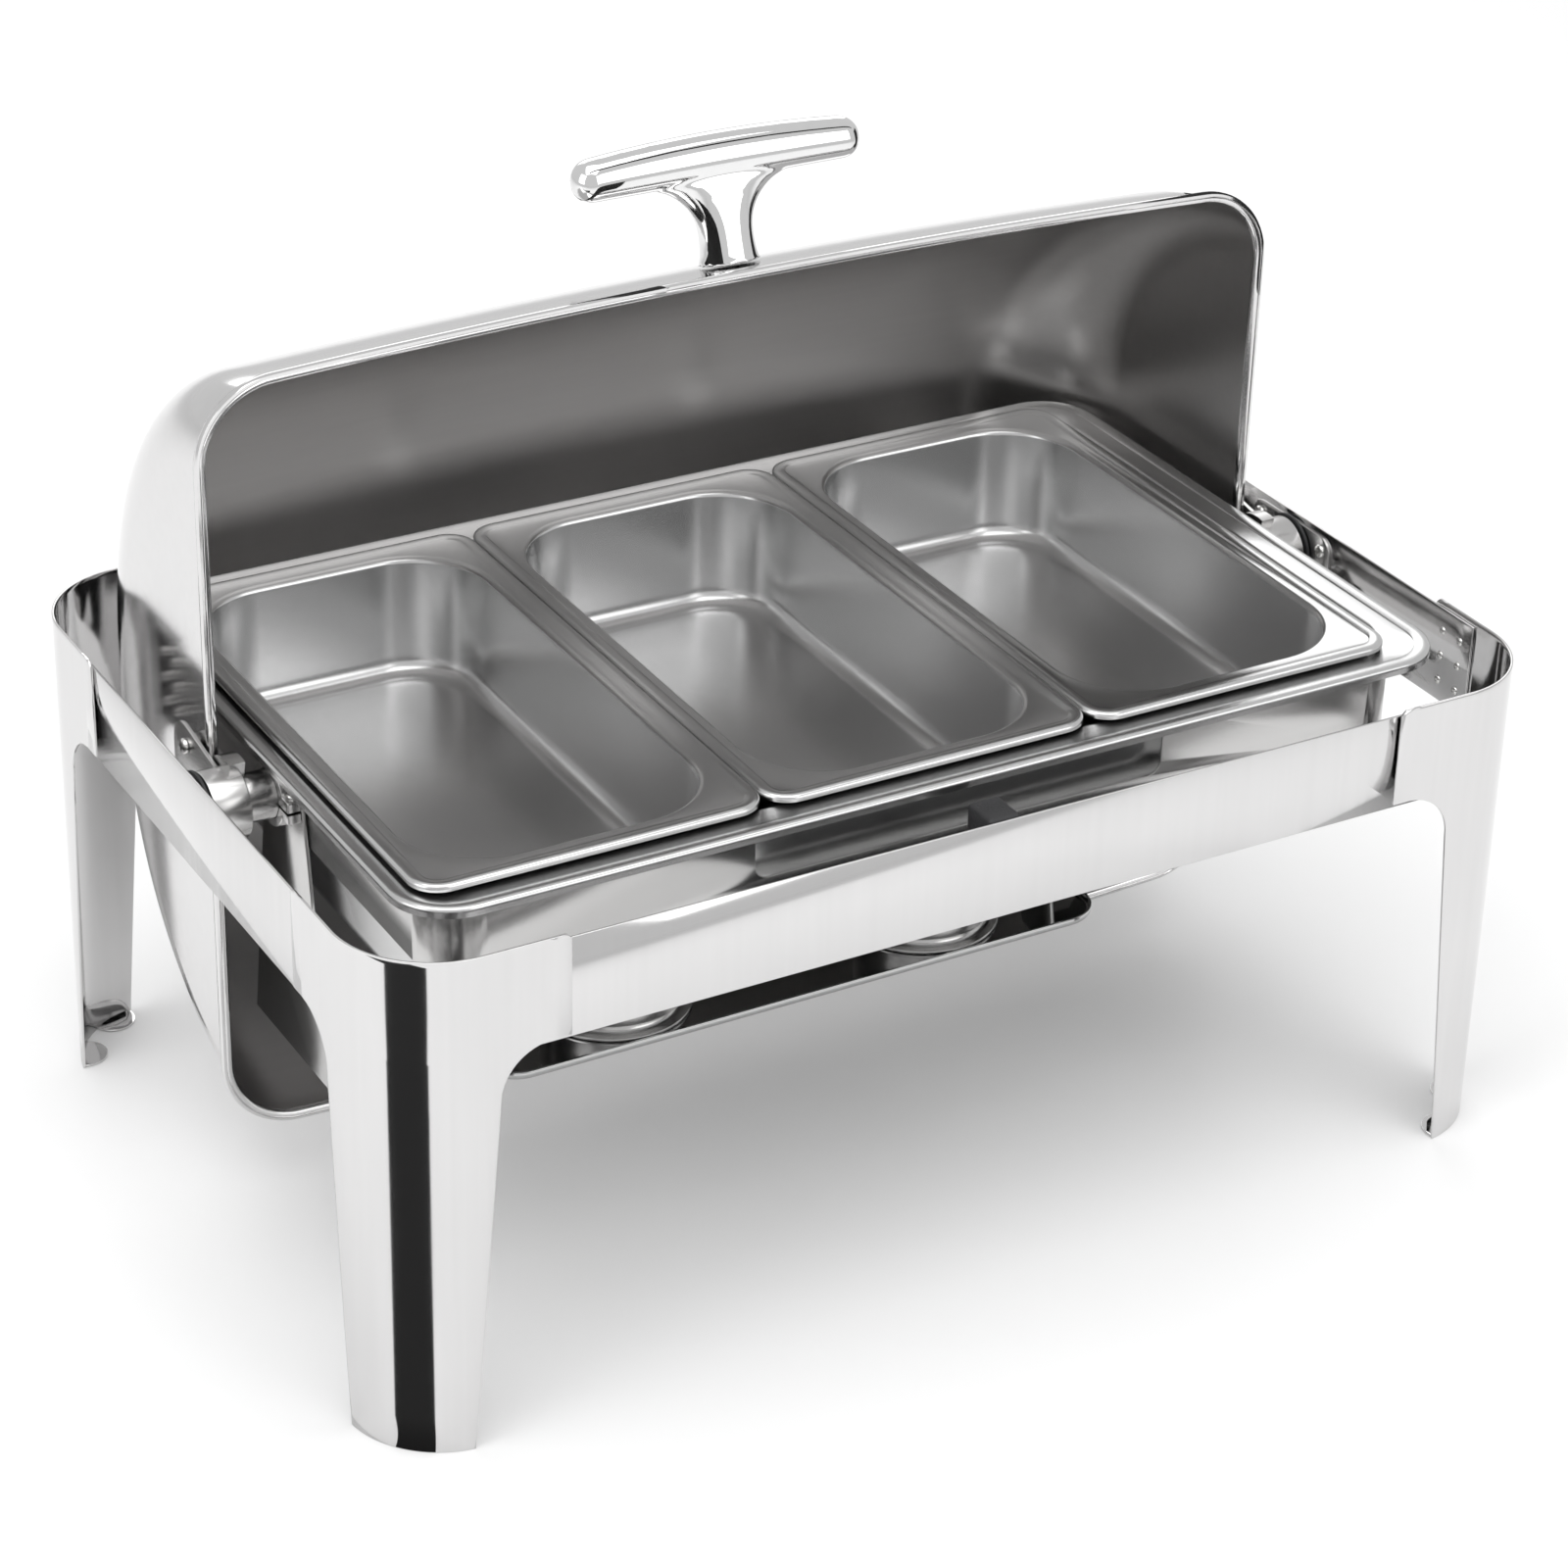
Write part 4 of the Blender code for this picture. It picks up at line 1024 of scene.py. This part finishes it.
def make_burner(tag):
    """A fuel cup, its swivelling damper and the pin between them."""
    low, high = node_box(f"fuel_cup_{tag}")
    x = (low.x + high.x) / 2
    y = (low.y + high.y) / 2
    cup = lathe(f"fuel_cup_{tag}_turned", cup_profile(high.z - low.z), (x, y, low.z),
                (0, 0, 1), SATIN, steps=96)
    place(cup, "stand", "satin_sheet", f"fuel_cup_{tag}")
    low, high = node_box(f"damper_{tag}")
    outline = damper_outline(x, y, high.x - x - DAMPER_TAB_R)
    disc = prism(f"damper_{tag}_plate", [(px, py, low.z) for px, py in outline],
                 (0, 0, high.z - low.z), SATIN)
    vent = lathe("vent", [(0, 0), (VENT_R, 0), (VENT_R, 8), (0, 8)], (x, y, low.z - 3),
                 (0, 0, 1), steps=48)
    cut(disc, vent)
    soften(disc, 0.25)
    place(bake(disc), f"damper_{tag}", "satin_sheet", f"damper_{tag}")
    make_screw(f"damper_pin_{tag}", "stand", (0, 0, 1), recess=False)


# ---------------------------------------------------------------- studio

def plain_material(name, colour, roughness):
    """A matt colour with the faintest clouding."""
    mat, tree, shader = new_material(name, colour, roughness, 0.0)
    cloud = noise(tree, EVEN, 3.0, 3.0)
    paler = tuple(min(1.0, c * 1.01) for c in colour)
    tree.links.new(mix_colour(tree, cloud, colour, paler), shader.inputs["Base Color"])
    return mat


def dark_card(name, points, value):
    """A black card that only shows in reflections."""
    bm = bmesh.new()
    bm.faces.new([bm.verts.new(p) for p in points])
    card = link(name, to_mesh(bm, name), plain_material(name + "_black", (value,) * 3, 1.0))
    card.visible_camera = False
    card.visible_diffuse = False
    card.visible_shadow = False


def area_light(name, place_mm, aim_mm, size_mm, power):
    data = bpy.data.lights.new(name, "AREA")
    data.shape = "RECTANGLE"
    data.size = size_mm[0] * MM
    data.size_y = size_mm[1] * MM
    data.energy = power
    lamp = bpy.data.objects.new(name, data)
    bpy.context.scene.collection.objects.link(lamp)
    lamp.location = Vector(place_mm) * MM
    way = (Vector(aim_mm) - Vector(place_mm)).normalized()
    lamp.rotation_euler = way.to_track_quat("-Z", "Y").to_euler()


def make_floor():
    """A pale disc that reaches out of sight."""
    bm = bmesh.new()
    radius = 14000.0
    steps = 64
    bm.faces.new([bm.verts.new((radius * math.cos(2 * math.pi * i / steps),
                                radius * math.sin(2 * math.pi * i / steps), -0.05))
                  for i in range(steps)])
    floor = link("floor", to_mesh(bm, "floor"), plain_material("floor_paper", (0.93,) * 3, 0.9))


def make_world():
    """An even white surround."""
    world = bpy.data.worlds.new("studio")
    world.use_nodes = True
    back = world.node_tree.nodes["Background"]
    back.inputs["Color"].default_value = (1.0, 1.0, 1.0, 1.0)
    back.inputs["Strength"].default_value = 0.72
    bpy.context.scene.world = world


def corner_flag():
    """Floor card mirrored by the front-left leg's corner as one upright black band."""
    centre = Vector((-(STAND_X - CORNER_R), -(STAND_Y - CORNER_R)))
    points = []
    for normal, ray in ((219.0, 192.8), (241.0, 236.8)):
        start = centre + CORNER_R * Vector((math.cos(math.radians(normal)),
                                            math.sin(math.radians(normal))))
        way = Vector((math.cos(math.radians(ray)), math.sin(math.radians(ray))))
        edge = [start, start + way * 900]
        points += edge if not points else edge[::-1]
    dark_card("corner_flag", [(p.x, p.y, 0.3) for p in points], 0.004)


def handle_flags():
    """Cards near the handle that give its chrome dark streaks."""
    hub = Vector((0.0, 73.0))
    radius = 75
    low, high = 447.0, 480.0
    turns = [math.radians(20 + 108 * i / 8) for i in range(9)]
    arc = [hub + radius * Vector((-math.sin(t), -math.cos(t))) for t in turns]
    for i, (a, b) in enumerate(zip(arc, arc[1:])):
        dark_card(f"handle_flag_left_{i}", ((a.x, a.y, low), (b.x, b.y, low),
                                            (b.x, b.y, high), (a.x, a.y, high)), 0.02)
    dark_card("handle_flag_right", ((295, -5, 380), (299, 99, 380), (299, 99, 540),
                                    (295, -5, 540)), 0.02)
    dark_card("handle_flag_front", ((-250, -156, 806), (750, -156, 806), (750, -130, 862),
                                    (-250, -130, 862)), 0.02)


def channel_shade_card():
    """Dark card under the gap between the front rail and the notch in the support band: painted
    shade, a black sheet that stands in for the gap's shade in reflections.
    """
    left, right = NOTCH_X[0] + 25, NOTCH_X[1] + 35
    dark_card("channel_shade_card", ((left, -210, 208), (right, -210, 208),
                               (right, -166, 208), (left, -166, 208)), 0.01)


def make_studio():
    """Floor, surround, reflection cards and four soft boxes."""
    make_floor()
    make_world()
    corner_flag()
    handle_flags()
    # The channel card is painted shade, seen only in reflections.
    channel_shade_card()
    area_light("top_softbox", (-300, -500, 2300), (0, 0, 200), (2400, 2000), 28.0)
    area_light("left_softbox", (-2300, -300, 1200), (0, 0, 200), (1600, 1600), 11.0)
    area_light("front_softbox", (1100, -2400, 1300), (0, 0, 200), (1800, 1400), 11.0)
    area_light("back_softbox", (900, 2400, 1500), (0, 0, 200), (2200, 1400), 13.0)


def make_camera():
    """The camera, with its turn and place found from the shapes in view."""
    data = bpy.data.cameras.new("camera")
    data.lens = 95.34
    data.sensor_width = 36.0
    data.shift_x = 0.0143
    data.shift_y = -0.0452
    data.clip_start = 0.05
    data.clip_end = 60.0
    camera = bpy.data.objects.new("camera", data)
    bpy.context.scene.collection.objects.link(camera)
    turn = (Matrix.Rotation(math.radians(-29.978), 3, "Z")
            @ Matrix.Rotation(math.radians(61.953), 3, "X")
            @ Matrix.Rotation(math.radians(1.369), 3, "Z"))
    offset = turn @ Vector((9.038, 34.02, -2073.655))
    camera.matrix_world = Matrix.Translation((Vector((0, 0, 254)) - offset) * MM) @ turn.to_4x4()
    bpy.context.scene.camera = camera


make_stand()
make_bumper()
make_lid_shell()
make_handle()
make_hinge("left", -1)
make_hinge("right", 1)
make_pans()
make_band()
make_shelf()
make_arm("left", -1)
make_arm("right", 1)
make_burner("left")
make_burner("right")
make_studio()
make_camera()
bpy.context.scene.view_settings.view_transform = "Standard"
